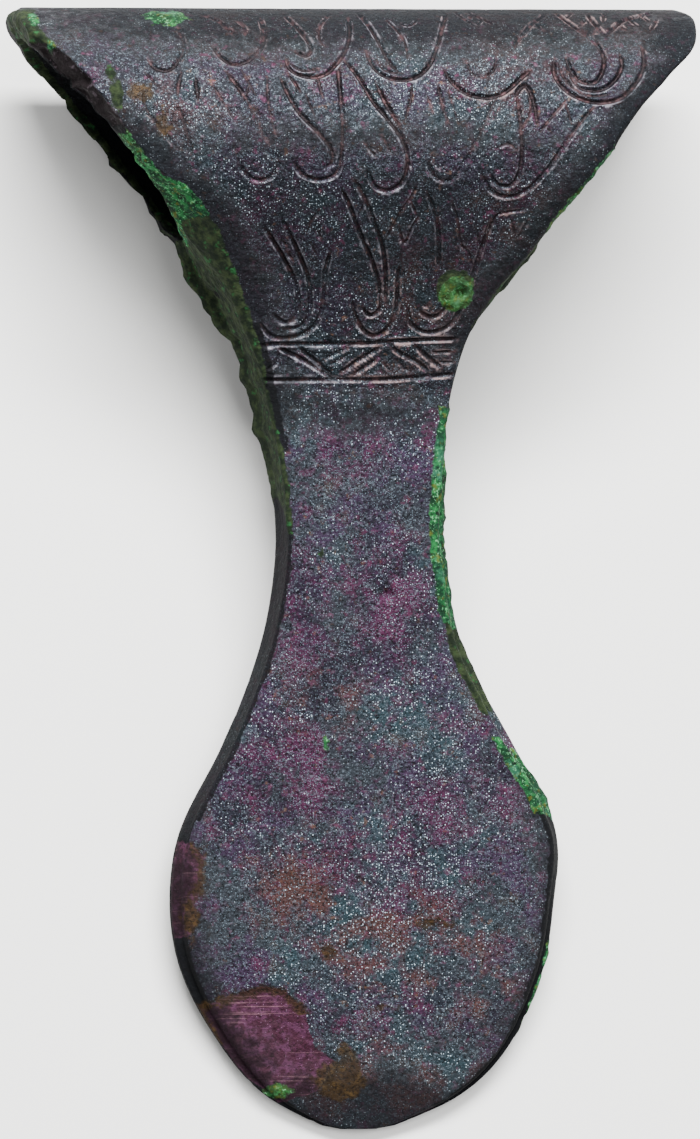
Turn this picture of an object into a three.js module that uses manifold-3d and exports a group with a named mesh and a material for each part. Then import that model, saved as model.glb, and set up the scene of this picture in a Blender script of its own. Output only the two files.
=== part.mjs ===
// Bronze shaft-hole axe head, cast in one piece. Millimetres, +Z up.
// It lies on its back: the decorated face looks up, +Y runs towards the nape and +X to the
// right of that face. The casting is drawn in local axes x, t (down the length from the
// nape) and w (out from the middle plane), then tipped to rest on the tube and the blade.
import * as THREE from "three";
import { mergeVertices } from "three/addons/utils/BufferGeometryUtils.js";
import Module from "manifold-3d";

// ---- driving sizes (mm) -------------------------------------------------------------
const LENGTH = 160;                                  // nape to cutting edge
const TUBE = { reach: 20, half: 18 };                // thickest point: length from the nape, half
const HOLE = { t: 18.8, along: 14.6, deep: 14.2 };   // haft hole: centre and half sizes
const REST_FLAT = 0.12;                              // depth of the flat spot it lies on
const SEAM_HALF = 1.2;                               // half thickness of the flash at its root
const SCALLOP = { pitch: 3.5, rise: 0.42, from: 3, to: 66 };   // wavy rim left by the mould
const GROOVE = { half: 0.5, deep: 0.42, lift: 0.35 };          // graver's cut
const BAND = { top: 47.9, low: 53.0, start: -12.4, pitch: 8, twin: 3.4, run: 4.6 };   // neck band
const CELLS = { front: 5, back: 4 };                 // divisions across each face
const PATINA = { color: 0x5a5361, roughness: 0.55, metalness: 0.6 };

// Stations along the length: t, left half width, right half width.
const OUTLINE = [
  [0, 47.4, 45.8], [2, 49.8, 47.9], [4.5, 48.3, 45.9], [8, 45.3, 44.3], [13, 40.7, 39.5],
  [20, 34.5, 34.8], [27, 29.4, 29.3], [33.5, 25.2, 24.0], [40.5, 21.2, 19.6],
  [47.3, 17.2, 15.5], [57.6, 13.9, 12.6], [70, 11.5, 11.4], [80, 11.4, 11.7],
  [92, 13.8, 14.4], [105.6, 19.2, 21.5], [117.6, 25.4, 28.2], [128, 26.8, 28.3],
  [138, 25.1, 26.5], [148.4, 19.5, 21.5], [155, 13.5, 15.0], [159.4, 5.0, 5.8], [LENGTH, 2.0, 2.8],
];
// Half thickness behind the thickest point: t, half thickness.
const THICKNESS = [
  [TUBE.reach, TUBE.half], [25, 17.2], [30, 15.2], [35, 12.9], [40, 10.7], [45, 8.9],
  [50, 7.5], [56, 6.5], [64, 6.1], [80, 5.8], [100, 5.1], [120, 4.2], [140, 3.2],
  [152, 2.3], [LENGTH, 1.0],
];
// How far the front edge stands in from the outline, broken back on the left: t, left, right.
const INSET = [
  [0, 0.6, 0.6], [4, 0.9, 0.6], [6, 2.6, 0.4], [11, 2.8, 0.4], [15, 1.6, 0.4], [18, 1.4, 0.4],
  [25, 3.4, 0.4], [30, 4.2, 0.6], [34, 3.8, 1.4], [40, 3.2, 1.8], [46, 1.6, 1.2],
  [57, 0.9, 0.7], [75, 0.7, 0.7], [100, 0.8, 0.9], [118, 1.2, 1.3], [130, 1.8, 1.8],
  [150, 2.2, 2.2], [LENGTH, 1.6, 1.6],
];
// Height of the flash fin on the casting seam: t, left, right.
const FLASH = [
  [0, 0.1, 0.1], [30, 0.1, 0.1], [35, 1.2, 1.8], [42, 2.2, 1.4], [48, 1.0, 0.5],
  [60, 1.1, 0.5], [68, 0.5, 1.2], [90, 0.3, 1.3], [110, 0.3, 1.3], [120, 0.2, 0.5],
  [LENGTH, 0.1, 0.1],
];

const wasm = await Module();
wasm.setup();

// ---- curves along the length --------------------------------------------------------
const clamp = THREE.MathUtils.clamp;
const radians = THREE.MathUtils.degToRad;

/** Smooth value of one column of a station table at length t. */
function at(table, t, column = 1) {
  let k = 0;
  while (k < table.length - 2 && t > table[k + 1][0]) k += 1;
  const slope = (i) => {
    const a = table[Math.max(0, i - 1)], b = table[Math.min(table.length - 1, i + 1)];
    return (b[column] - a[column]) / (b[0] - a[0]);
  };
  const p = table[k], q = table[k + 1], span = q[0] - p[0];
  const u = clamp((t - p[0]) / span, 0, 1), u2 = u * u, u3 = u2 * u;
  return (2 * u3 - 3 * u2 + 1) * p[column] + (u3 - 2 * u2 + u) * span * slope(k)
    + (3 * u2 - 2 * u3) * q[column] + (u3 - u2) * span * slope(k + 1);
}

/** Half thickness on the centre line: a round nape, then the station table. */
function thickness(t) {
  if (t >= TUBE.reach) return at(THICKNESS, t);
  return TUBE.half * Math.sqrt(1 - ((TUBE.reach - t) / TUBE.reach) ** 2);
}

/** Wavy rim of the head and upper neck. */
function scallop(t, phase) {
  const fade = clamp((t - SCALLOP.from) / 4, 0, 1) * clamp((SCALLOP.to - t) / 8, 0, 1);
  const turn = (2 * Math.PI * t) / SCALLOP.pitch;
  return SCALLOP.rise * fade * (Math.sin(turn + phase) + 0.6 * Math.sin(0.61 * turn + phase));
}

/** Share of the thickness left at a share of the half width: level head, domed blade. */
function crown(t, share) {
  return 1 - 0.2 * clamp((t - 62) / 60, 0, 1) * share * share;
}

/** Height of the decorated face over the middle plane. */
function faceHeight(x, t) {
  return thickness(t) * crown(t, x / at(OUTLINE, t, x < 0 ? 1 : 2));
}

// ---- the casting --------------------------------------------------------------------
/** Flank from the front edge down to the back edge; side is -1 for left and +1 for right. */
function flank(t, side) {
  const column = side < 0 ? 1 : 2;
  const half = at(OUTLINE, t, column) + scallop(t, column);
  const inset = at(INSET, t, column), fin = at(FLASH, t, column);
  const back = Math.min(inset, 1), high = thickness(t) * crown(t, 1);
  const seam = Math.min(SEAM_HALF, 0.35 * high);
  return [
    [half - inset, high], [half - 0.3 * inset, 0.8 * high], [half, seam], [half + fin, 0],
    [half, -seam], [half - 0.3 * back, -0.8 * high], [half - back, -high],
  ].map(([x, w]) => [side * x, w]);
}

/** Points across one face from edge to edge, the last edge left out. */
function across([from], [to], cells, side, t) {
  return Array.from({ length: cells }, (_, k) => {
    const x = from + ((to - from) * k) / cells;
    const share = x < 0 === from < 0 ? x / from : x / to;
    return [x, side * thickness(t) * crown(t, share)];
  });
}

/** One closed section of the casting at length t. */
function section(t) {
  const left = flank(t, -1), right = flank(t, 1);
  const ring = [
    ...across(left[0], right[0], CELLS.front, 1, t), ...right.slice(0, 6),
    ...across(right[6], left[6], CELLS.back, -1, t), ...left.slice(1).reverse(),
  ];
  return ring.map(([x, w]) => [x, -t, w]);
}

/** Lengths at which sections are taken, closer where the form turns quickly. */
function sectionLengths() {
  const rows = [];
  for (let turn = 7; turn < 66; turn += 6.5) rows.push(TUBE.reach * (1 - Math.cos(radians(turn))));
  const half = 0.5 * SCALLOP.pitch;
  for (let t = rows.at(-1) + half; t < SCALLOP.to; t += half) rows.push(t);
  for (let t = 68; t < 140; t += 4) rows.push(t);
  for (let turn = 0; turn <= 80; turn += 10) rows.push(140 + (LENGTH - 140) * Math.sin(radians(turn)));
  return [...rows, LENGTH];
}

/** Closed skin over rings of equal count, with a fan on each end. */
function skin(rings) {
  const count = rings[0].length, points = rings.flat(), index = [];
  const next = (r, k) => r * count + ((k + 1) % count);
  for (let r = 0; r + 1 < rings.length; r += 1) {
    for (let k = 0; k < count; k += 1) {
      const a = r * count + k, b = next(r, k);
      index.push(a, a + count, b, b, a + count, b + count);
    }
  }
  for (const r of [0, rings.length - 1]) {
    const centre = points.length;
    points.push(rings[r].reduce((sum, p) => sum.map((v, i) => v + p[i] / count), [0, 0, 0]));
    for (let k = 0; k < count; k += 1) {
      index.push(centre, ...(r ? [next(r, k), r * count + k] : [r * count + k, next(r, k)]));
    }
  }
  const geometry = new THREE.BufferGeometry();
  geometry.setAttribute("position", new THREE.Float32BufferAttribute(points.flat(), 3));
  return geometry.setIndex(index);
}

/** Oval bar for the haft hole, running the whole way across. */
function holeGeometry() {
  const oval = new THREE.Shape().absellipse(0, 0, HOLE.deep, HOLE.along, 0, 2 * Math.PI);
  const bar = new THREE.ExtrudeGeometry(oval, { depth: 120, bevelEnabled: false, curveSegments: 24 });
  return bar.translate(0, 0, -60).rotateY(Math.PI / 2).translate(0, -HOLE.t, 0);
}

// ---- engraving ----------------------------------------------------------------------
/** Point and outward normal of the decorated face at [x, t]. */
function onFace([x, t]) {
  const e = 0.2;
  const slopeX = (faceHeight(x + e, t) - faceHeight(x - e, t)) / (2 * e);
  const slopeY = (faceHeight(x, t - e) - faceHeight(x, t + e)) / (2 * e);
  const normal = new THREE.Vector3(-slopeX, -slopeY, 1).normalize();
  return { point: new THREE.Vector3(x, -t, faceHeight(x, t)), normal };
}

/** V-shaped cut that follows a line of [x, t] points and runs out at both ends. */
function grooveGeometry(line, size) {
  const places = line.map(onFace), last = line.length - 1;
  return skin(places.map(({ point, normal }, k) => {
    const along = places[Math.min(last, k + 1)].point.clone().sub(places[Math.max(0, k - 1)].point);
    const side = along.cross(normal).normalize();
    const bite = size * (k === 0 || k === last ? 0.35 : 1);
    const spread = GROOVE.half * bite + (GROOVE.half / GROOVE.deep) * GROOVE.lift;
    const top = point.clone().addScaledVector(normal, GROOVE.lift);
    return [
      point.clone().addScaledVector(normal, -GROOVE.deep * bite).toArray(),
      top.clone().addScaledVector(side, spread).toArray(),
      top.clone().addScaledVector(side, -spread).toArray(),
    ];
  }));
}

/** Place on a rising stem that leaves upright and bends over by lean while it climbs. */
function onStem({ x, t, lean, reach }, u) {
  return [x + lean * (0.3 * u + 0.7 * u * u), t - reach * u];
}

/** Rising stem as a line. */
function stem(form, steps = 3) {
  return Array.from({ length: steps + 1 }, (_, k) => onStem(form, k / steps));
}

/** Hooked line: from a tip on the left round the bottom of a curl, then up a stem. */
function hook(x, t, radius, start, lean, reach) {
  const steps = Math.max(5, Math.round(1.9 * radius));
  const curl = Array.from({ length: steps }, (_, k) => {
    const turn = radians(start * (1 - k / steps));
    return [x + radius * Math.cos(turn), t + radius * Math.sin(turn)];
  });
  return [...curl, ...stem({ x: x + radius, t, lean, reach })];
}

/** One plant-like hook: two curls, a third stem, rungs between the stems and a leaf. */
function hookMotif({ x, t, radius, reach, lean, rungs }) {
  const inner = { x: x + 0.5 * radius, t, lean: -lean, reach };
  const third = { x: x + 0.76 * radius, t: t + 0.2, lean: -0.7 * lean, reach };
  const lines = [
    hook(x, t, radius, 205, 0.25 * lean, 0.9 * reach),
    hook(x - 0.05 * radius, t, 0.55 * radius, 215, -lean, reach),
    stem(third),
  ];
  for (let k = 0; k < rungs; k += 1) {
    const u = 0.5 + (0.4 * k) / (rungs - 1);
    lines.push([onStem(inner, u), onStem(third, u + 0.08)]);
  }
  const foot = [x + 0.9 * radius, t - 0.55 * reach];
  lines.push([[foot[0] - 0.3 * lean, foot[1] - 0.32 * reach], foot,
    [foot[0] + 0.12 * lean, foot[1] - 0.34 * reach]]);
  return lines;
}

/** Hooks along the nape, growing from left to right. */
function napeRow() {
  return Array.from({ length: 6 }, (_, k) => {
    const radius = 2.8 + 0.72 * k, t = 6.0 + 0.6 * k;
    const x = -28.9 + 8.6 * k + 0.72 * k * k;
    return { x, t, radius, reach: t - 1.6, lean: 0.85 * radius, rungs: 0 };
  });
}

/** Hooks of the two lower rows. */
function lowerRows() {
  const middle = Array.from({ length: 5 }, (_, k) => ({
    x: -16.9 + 8.9 * k, t: 22.4 + 0.4 * k, radius: 3.1 + 0.1 * k, reach: 13, lean: 5.2, rungs: 3,
  }));
  const bottom = [-10.1, 1.2, 9.6].map((x, k) => ({
    x, t: 43.0, radius: 3.8 - 0.2 * k, reach: 14, lean: 5 - 0.6 * k, rungs: 3,
  }));
  return [...middle, ...bottom];
}

/** Straight line over the face, in a few steps so that it follows the curve. */
function stroke([x0, t0], [x1, t1], steps = 2) {
  return Array.from({ length: steps + 1 }, (_, k) => {
    const u = k / steps;
    return [x0 + (x1 - x0) * u, t0 + (t1 - t0) * u];
  });
}

/** Band across the neck: two rules with a zigzag of paired strokes between them. */
function bandLines() {
  const { top, low, start, pitch, twin, run } = BAND;
  const edge = (t, column) => at(OUTLINE, t, column) - at(INSET, t, column) - 0.6;
  const lines = [top, low].map((t) => stroke([-edge(t, 1), t], [edge(t, 2), t], 6));
  const [high, deep] = [top + 0.6, low - 0.5];
  for (let k = 0; k < 3; k += 1) {
    const [from, to] = k % 2 ? [deep, high] : [high, deep];
    for (const shift of [0, twin]) {
      const x = start + pitch * k + shift;
      lines.push(stroke([x, from], [x + run, to]));
    }
  }
  return lines;
}

// ---- solids -------------------------------------------------------------------------
/** Solid ready for joins and cuts, from a closed geometry. */
function solid(geometry) {
  const bare = geometry.clone().deleteAttribute("normal").deleteAttribute("uv");
  const merged = mergeVertices(bare, 1e-4);
  return new wasm.Manifold(new wasm.Mesh({
    numProp: 3,
    vertProperties: new Float32Array(merged.attributes.position.array),
    triVerts: new Uint32Array(merged.index.array),
  }));
}

/** Geometry of a finished solid. */
function geometryOf(body) {
  const { vertProperties, triVerts } = body.getMesh();
  const geometry = new THREE.BufferGeometry();
  geometry.setAttribute("position", new THREE.BufferAttribute(vertProperties, 3));
  return geometry.setIndex(new THREE.BufferAttribute(triVerts, 1));
}

/** All the graver's cuts as one solid. */
function engraving() {
  const lines = [...napeRow(), ...lowerRows()].flatMap(hookMotif).concat(bandLines());
  return lines.map((line) => solid(grooveGeometry(line, line.length < 4 ? 0.8 : 1)))
    .reduce((sum, cut) => sum.add(cut));
}

// ---- lying on its back --------------------------------------------------------------
/** Lowest height of the back over a stretch of the length, tipped by an angle. */
function lowest(tip, from, to) {
  let low = Infinity;
  for (let t = from; t <= to; t += 0.25) {
    low = Math.min(low, -thickness(t) * Math.cos(tip) - t * Math.sin(tip));
  }
  return low;
}

/** Angle at which the tube and the cutting edge touch the ground together. */
function restAngle() {
  let [flat, steep] = [0, 0.3];
  for (let k = 0; k < 40; k += 1) {
    const tip = 0.5 * (flat + steep);
    if (lowest(tip, 1, 60) < lowest(tip, 130, LENGTH)) flat = tip;
    else steep = tip;
  }
  return flat;
}

/** Block below the ground, which takes a thin slice off the back of the tube. */
function groundGeometry(height) {
  return new THREE.BoxGeometry(140, 260, 20).translate(0, -80, height - 10);
}

/** The finished casting, lying on its back with its box centred over the origin. */
function axeGeometry() {
  const tip = restAngle(), ground = lowest(tip, 1, 60) + REST_FLAT;
  const tools = engraving().add(solid(holeGeometry()));
  const cast = geometryOf(solid(skin(sectionLengths().map(section))).subtract(tools));
  const lying = geometryOf(solid(cast.rotateX(tip)).subtract(solid(groundGeometry(ground))));
  lying.computeBoundingBox();
  const middle = lying.boundingBox.getCenter(new THREE.Vector3());
  return lying.translate(-middle.x, -middle.y, -lying.boundingBox.min.z);
}

const axe = new THREE.Mesh(axeGeometry(), new THREE.MeshStandardMaterial(PATINA));
axe.name = "axe_head";

const group = new THREE.Group();
group.add(axe);

export default group;
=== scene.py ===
"""Cast bronze shaft-hole axe head, lying on its back on a pale floor.

The casting is drawn in its own axes, in millimetres: x to the right of the decorated face,
t down the length from the nape, and w out from the middle plane. A Seat tips it into the
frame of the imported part, in metres. The haft hole runs across the head along x.
"""

import logging
import math
from contextlib import contextmanager
from dataclasses import dataclass, field
from enum import Enum
from itertools import product
from typing import Callable, Iterator, Optional

import bpy
import numpy as np
from mathutils import Matrix, Vector


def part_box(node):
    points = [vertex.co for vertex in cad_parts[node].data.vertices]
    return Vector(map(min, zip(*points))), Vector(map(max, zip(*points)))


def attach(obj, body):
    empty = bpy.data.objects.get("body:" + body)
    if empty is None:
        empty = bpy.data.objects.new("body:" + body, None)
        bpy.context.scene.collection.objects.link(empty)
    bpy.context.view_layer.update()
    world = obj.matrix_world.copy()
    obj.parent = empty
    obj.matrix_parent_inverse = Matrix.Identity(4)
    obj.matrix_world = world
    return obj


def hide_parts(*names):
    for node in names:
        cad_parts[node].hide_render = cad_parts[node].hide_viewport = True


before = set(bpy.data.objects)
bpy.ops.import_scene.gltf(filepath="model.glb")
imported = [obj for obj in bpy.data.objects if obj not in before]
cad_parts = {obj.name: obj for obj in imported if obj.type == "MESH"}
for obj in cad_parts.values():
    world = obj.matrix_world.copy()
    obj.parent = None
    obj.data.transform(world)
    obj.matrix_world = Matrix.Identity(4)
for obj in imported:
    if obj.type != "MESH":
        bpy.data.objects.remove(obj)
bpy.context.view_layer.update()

MM = 0.001
NODE = "axe_head"
log = logging.getLogger("axe_head")


class Side(Enum):
    """Which flank of the casting, as seen on the decorated face."""

    LEFT = -1
    RIGHT = 1


class Zone(Enum):
    """Surface zones that the finish reads as point attributes."""

    CRUST = "crust"      # thick green crust
    OLIVE = "olive"      # thinner olive crust
    BREAK = "break"      # broken edge
    GROOVE = "groove"    # the graver's cuts: painted shade along them, with warm dirt
    FLAKE = "flake"      # purple metal where the skin came off
    OCHRE = "ochre"      # painted shade on the rims and flanks and in the haft hole
    RIM = "rim"          # dark rims, flanks and haft hole
    WARM = "warm"        # reddish clouds in the skin
    DUSK = "dusk"        # painted shade where the form turns from the light, and dark patina clouds
    WORN = "worn"        # the head, worn smooth by hands
    TINT = "tint"        # purple clouds in the skin
    LIP = "lip"          # pale lips of the cuts: a painted highlight below them on the head's bulge, pale fill elsewhere


# ---- curves and noise ---------------------------------------------------------------
@dataclass(frozen=True)
class Stations:
    """A smooth curve through given stations (length, value), all in millimetres."""

    points: tuple[tuple[float, float], ...]

    def at(self, t: np.ndarray) -> np.ndarray:
        """Value of the curve.

        Args:
            t: lengths at which the curve is wanted.

        Returns:
            The values, by cubic pieces that pass through every station.
        """
        p = np.asarray(self.points)
        n = len(p)
        slope = np.array([
            (p[min(n - 1, i + 1), 1] - p[max(0, i - 1), 1])
            / (p[min(n - 1, i + 1), 0] - p[max(0, i - 1), 0]) for i in range(n)
        ])
        t = np.asarray(t, float)
        k = np.clip(np.searchsorted(p[:, 0], t, side="left") - 1, 0, n - 2)
        span = p[k + 1, 0] - p[k, 0]
        u = np.clip((t - p[k, 0]) / span, 0, 1)
        return (
            (2 * u**3 - 3 * u**2 + 1) * p[k, 1] + (u**3 - 2 * u**2 + u) * span * slope[k]
            + (3 * u**2 - 2 * u**3) * p[k + 1, 1] + (u**3 - u**2) * span * slope[k + 1]
        )


# whole numbers that scatter the lattice corners
AXIS_PRIMES = (73856093, 19349663, 83492791)
SEED_PRIME = 2654435761
STIRS = ((13, 1274126177), (16, 2246822519))


@dataclass(frozen=True)
class Noise:
    """Seeded lattice noise in three dimensions, from -1 to 1."""

    grain: float
    seed: int = 1
    octaves: int = 3
    shrink: float = 2.03
    shift: float = 17.3
    seed_step: int = 31

    def _corner(self, cell: np.ndarray, seed: int) -> np.ndarray:
        """Random value of each lattice corner.

        Args:
            cell: whole-number corner positions, one per row.
            seed: number that picks the pattern.

        Returns:
            One value from -1 to 1 per row.
        """
        c = cell.astype(np.int64)
        h = seed * SEED_PRIME
        for axis, prime in enumerate(AXIS_PRIMES):
            h = h ^ (c[..., axis] * prime)
        for shift, prime in STIRS:
            h = (h ^ (h >> shift)) * prime & 0xFFFFFFFF
        return (h ^ (h >> 15)) % 65536 / 32767.5 - 1

    def _layer(self, p: np.ndarray, seed: int) -> np.ndarray:
        """One octave of the noise.

        Args:
            p: places, already divided by the grain.
            seed: number that picks the pattern.

        Returns:
            One value per place.
        """
        base = np.floor(p)
        f = p - base
        f = f * f * (3 - 2 * f)
        total = np.zeros(len(p))
        for corner in product((0, 1), repeat=3):
            weight = np.where(corner, f, 1 - f).prod(1)
            total += weight * self._corner(base + corner, seed)
        return total

    def at(self, p: np.ndarray) -> np.ndarray:
        """Noise at places in millimetres.

        Args:
            p: places, one per row.

        Returns:
            One value per place, from about -1 to 1.
        """
        total, size, weight = np.zeros(len(p)), self.grain, 1.0
        for k in range(self.octaves):
            total += weight * self._layer(p / size + self.shift * k, self.seed + self.seed_step * k)
            size, weight = size / self.shrink, weight * 0.5
        return total / (2 - 0.5 ** (self.octaves - 1))


@dataclass(frozen=True)
class Texture:
    """Noises laid over a level, each with its height."""

    level: float
    layers: tuple[tuple[float, Noise], ...]

    def at(self, p: np.ndarray) -> np.ndarray:
        """Value at places in millimetres, one per row."""
        total = np.full(len(p), self.level)
        for height, noise in self.layers:
            total += height * noise.at(p)
        return total


def smooth(low: float, high: float, value: np.ndarray) -> np.ndarray:
    """Smooth step.

    Args:
        low: value at which the step starts.
        high: value at which it is done.
        value: values to pass through it.

    Returns:
        0 before the step, 1 after it.
    """
    u = np.clip((value - low) / (high - low), 0, 1)
    return u * u * (3 - 2 * u)


def window(t: np.ndarray, start: float, end: float, rise: float, fall: float) -> np.ndarray:
    """Straight-sided window over a stretch.

    Args:
        t: values to pass through it.
        start: where it starts to open.
        end: where it has closed.
        rise: how long it takes to open.
        fall: how long it takes to close.

    Returns:
        1 inside the stretch, 0 outside it.
    """
    return np.clip((t - start) / rise, 0, 1) * np.clip((end - t) / fall, 0, 1)


WANDER_PACE = 0.23    # how fast a wave's phase wanders, against the plain wave's pace


@dataclass(frozen=True)
class Wave:
    """One wave along the length; sway lets its phase wander."""

    height: float
    pace: float
    phase: float
    sway: float = 0.0

    def at(self, turn: np.ndarray) -> np.ndarray:
        """Height of the wave at angles in radians."""
        wander = self.sway * np.sin(WANDER_PACE * turn)
        return self.height * np.sin(self.pace * turn + self.phase + wander)


# ---- the casting's form -------------------------------------------------------------
FLANK_CELLS = (5, 5, 2, 2, 3, 3)    # cells in each of a flank's six stretches


@dataclass
class CastingForm:
    """Outline, thickness and flank of the casting, in millimetres."""

    length: float = 160.0
    tube_reach: float = 20.0
    tube_half: float = 18.0
    hole_t: float = 18.8
    hole_along: float = 14.6
    hole_deep: float = 14.2
    seam_half: float = 1.2
    seam_share: float = 0.35       # most of the half thickness that the seam's band takes
    slope_share: float = 0.6       # most of it that the broken slope takes
    back_share: float = 0.8        # height of the back rim's foot
    back_inset: float = 1.0
    back_lean: float = 0.3
    dome: float = 0.2              # share of the thickness lost at the blade's rim
    dome_start: float = 62.0
    dome_run: float = 60.0
    round_start: float = 30.0      # the left shoulder is broken above this, rounded below it
    round_run: float = 10.0
    least_round: float = 0.15
    scallop_pitch: float = 3.5
    scallop_rise: float = 0.42
    scallops: dict[Side, tuple[Wave, ...]] = field(default_factory=lambda: {
        Side.LEFT: (Wave(0.55, 1.0, 1.0, 0.9), Wave(0.7, 0.47, 1.0)),
        Side.RIGHT: (Wave(0.35, 0.8, 2.0), Wave(0.3, 0.43, 2.0)),
    })
    scalloped: tuple[float, ...] = (3.0, 66.0, 4.0, 8.0)    # start, end, rise and fall
    chips: tuple[Wave, ...] = (Wave(0.3, 1.9, 0.6), Wave(0.25, 3.1, 0.0))
    broken: tuple[float, ...] = (4.0, 27.0, 2.0, 3.0)
    rest_flat: float = 0.12
    outline: dict[Side, Stations] = field(default_factory=lambda: {
        Side.LEFT: Stations((
            (0, 48.1), (1, 49.5), (2, 49.8), (4.5, 48.6), (6, 47.2), (8, 45.2), (13, 40.6),
            (20, 34.5),
            (27, 29.4), (33.5, 25.2), (40.5, 21.2), (47.3, 17.2), (57.6, 13.9), (70, 11.5),
            (80, 11.4),
            (92, 13.8), (105.6, 19.2), (117.6, 25.3), (128, 26.7), (138, 24.9), (148.4, 19.1),
            (155, 13.1), (159.4, 5.0), (160, 2.0))),
        Side.RIGHT: Stations((
            (0, 45.9), (0.9, 47.7), (2, 48.2), (4.5, 47.9), (6, 47.1), (7.1, 46.1), (9.4, 43.6),
            (11.6, 41.6), (13.7, 39.4), (18, 36.2), (20, 35.0), (24.4, 31.5), (28.7, 28.1),
            (33, 25.4),
            (36, 23.3), (40.5, 19.5), (47.3, 15.5), (57.6, 12.6), (70, 11.4), (80, 11.7),
            (92, 14.5),
            (105.6, 21.7), (117.6, 28.4), (128, 28.3), (138, 26.6), (148.4, 21.8), (155, 15.2),
            (159.4, 5.8), (160, 2.8))),
    })
    thick: Stations = Stations((
        (20, 18), (25, 17.2), (30, 15.2), (35, 12.9), (40, 10.7), (45, 8.9), (50, 7.5), (56, 6.5),
        (64, 6.1), (80, 5.8), (100, 5.1), (120, 4.2), (140, 3.2), (152, 2.3), (160, 1.0)))
    inset: dict[Side, Stations] = field(default_factory=lambda: {
        Side.LEFT: Stations((
            (0, 0.6), (4, 0.9), (6, 1.9), (9, 2.2), (13, 1.5), (17, 0.7), (21.5, 0.5), (23.8, 0.7),
            (25.4, 3.0), (27.5, 3.9), (31, 4.3), (34, 3.9), (40, 3.3), (46, 1.8), (57, 1.1),
            (75, 1.0), (100, 1.2), (118, 1.6), (130, 2.3), (150, 2.6), (160, 1.8))),
        Side.RIGHT: Stations((
            (0, 0.6), (4, 1.1), (8, 1.3), (14, 1.4), (25, 1.6), (34, 2.0), (40, 2.0), (46, 1.4),
            (57, 0.7), (75, 0.7), (100, 0.9), (118, 1.3), (130, 1.8), (150, 2.2), (160, 1.6))),
    })
    slope_out: dict[Side, Stations] = field(default_factory=lambda: {
        Side.LEFT: Stations((
            (0, 0.3), (4, 0.4), (6, 2.6), (12, 2.6), (16, 1.6), (20, 1.2), (23.8, 1.4), (25.4, 3.5),
            (28, 4.2), (32, 4.2), (36, 2.8), (42, 1.5), (50, 0.6), (60, 0.4), (100, 0.5),
            (118, 0.8),
            (130, 1.2), (150, 1.4), (160, 1.0))),
        Side.RIGHT: Stations((
            (0, 0.4), (4, 0.7), (8, 1.0), (25, 1.3), (34, 1.4), (40, 1.4), (46, 0.8), (57, 0.4),
            (100, 0.6), (118, 0.9), (130, 1.2), (150, 1.4), (160, 1.0))),
    })
    slope_down: dict[Side, Stations] = field(default_factory=lambda: {
        Side.LEFT: Stations((
            (0, 0.4), (4, 0.5), (6, 3.8), (12, 4.2), (18, 4.0), (24, 4.4), (28, 4.8), (32, 4.2),
            (36, 2.8), (42, 1.6), (50, 0.8), (60, 0.5), (100, 0.6), (118, 0.9), (130, 1.4),
            (150, 1.6), (160, 1.1))),
        Side.RIGHT: Stations((
            (0, 0.4), (4, 0.8), (8, 1.1), (25, 1.5), (34, 1.6), (40, 1.6), (46, 1.0), (57, 0.5),
            (100, 0.7), (118, 1.0), (130, 1.4), (150, 1.6), (160, 1.1))),
    })
    flash: dict[Side, Stations] = field(default_factory=lambda: {
        Side.LEFT: Stations((
            (0, 0.1), (30, 0.1), (35, 1.2), (42, 2.2), (48, 1.0), (60, 1.1), (68, 0.5), (90, 0.3),
            (110, 0.3), (120, 0.2), (160, 0.1))),
        Side.RIGHT: Stations((
            (0, 0.1), (30, 0.1), (35, 1.6), (42, 1.0), (48, 0.3), (60, 0.4), (68, 1.2), (90, 1.3),
            (110, 1.3), (120, 0.5), (160, 0.1))),
    })

    def thickness(self, t: np.ndarray) -> np.ndarray:
        """Half thickness on the centre line.

        Args:
            t: lengths from the nape.

        Returns:
            A round nape as far as the tube's thickest point, then the stations.
        """
        back = np.clip((self.tube_reach - t) / self.tube_reach, 0, 1)
        tube = self.tube_half * np.sqrt(1 - back**2)
        return np.where(t < self.tube_reach, tube, self.thick.at(t))

    def crown(self, t: np.ndarray, share: np.ndarray) -> np.ndarray:
        """Share of the thickness left away from the centre line: level head, domed blade."""
        return 1 - self.dome * np.clip((t - self.dome_start) / self.dome_run, 0, 1) * share**2

    def half_width(self, x: np.ndarray, t: np.ndarray) -> np.ndarray:
        """Half width on the side on which x lies."""
        return np.where(x < 0, self.outline[Side.LEFT].at(t), self.outline[Side.RIGHT].at(t))

    def face(self, x: np.ndarray, t: np.ndarray) -> np.ndarray:
        """Height of the decorated face over the middle plane."""
        return self.thickness(t) * self.crown(t, x / self.half_width(x, t))

    def scallop(self, t: np.ndarray, side: Side) -> np.ndarray:
        """Waves that the mould left along the seam and the back rims.

        Args:
            t: lengths from the nape.
            side: flank that is wanted.

        Returns:
            How far each place stands out or in.
        """
        turn = 2 * math.pi * t / self.scallop_pitch
        wave = sum(wave.at(turn) for wave in self.scallops[side])
        return self.scallop_rise * window(t, *self.scalloped) * wave

    def chipped(self, t: float, side: Side) -> float:
        """Jags of the broken left edge, in millimetres inwards."""
        if side is Side.RIGHT:
            return 0.0
        return float(window(t, *self.broken) * sum(chip.at(t) for chip in self.chips))

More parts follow.
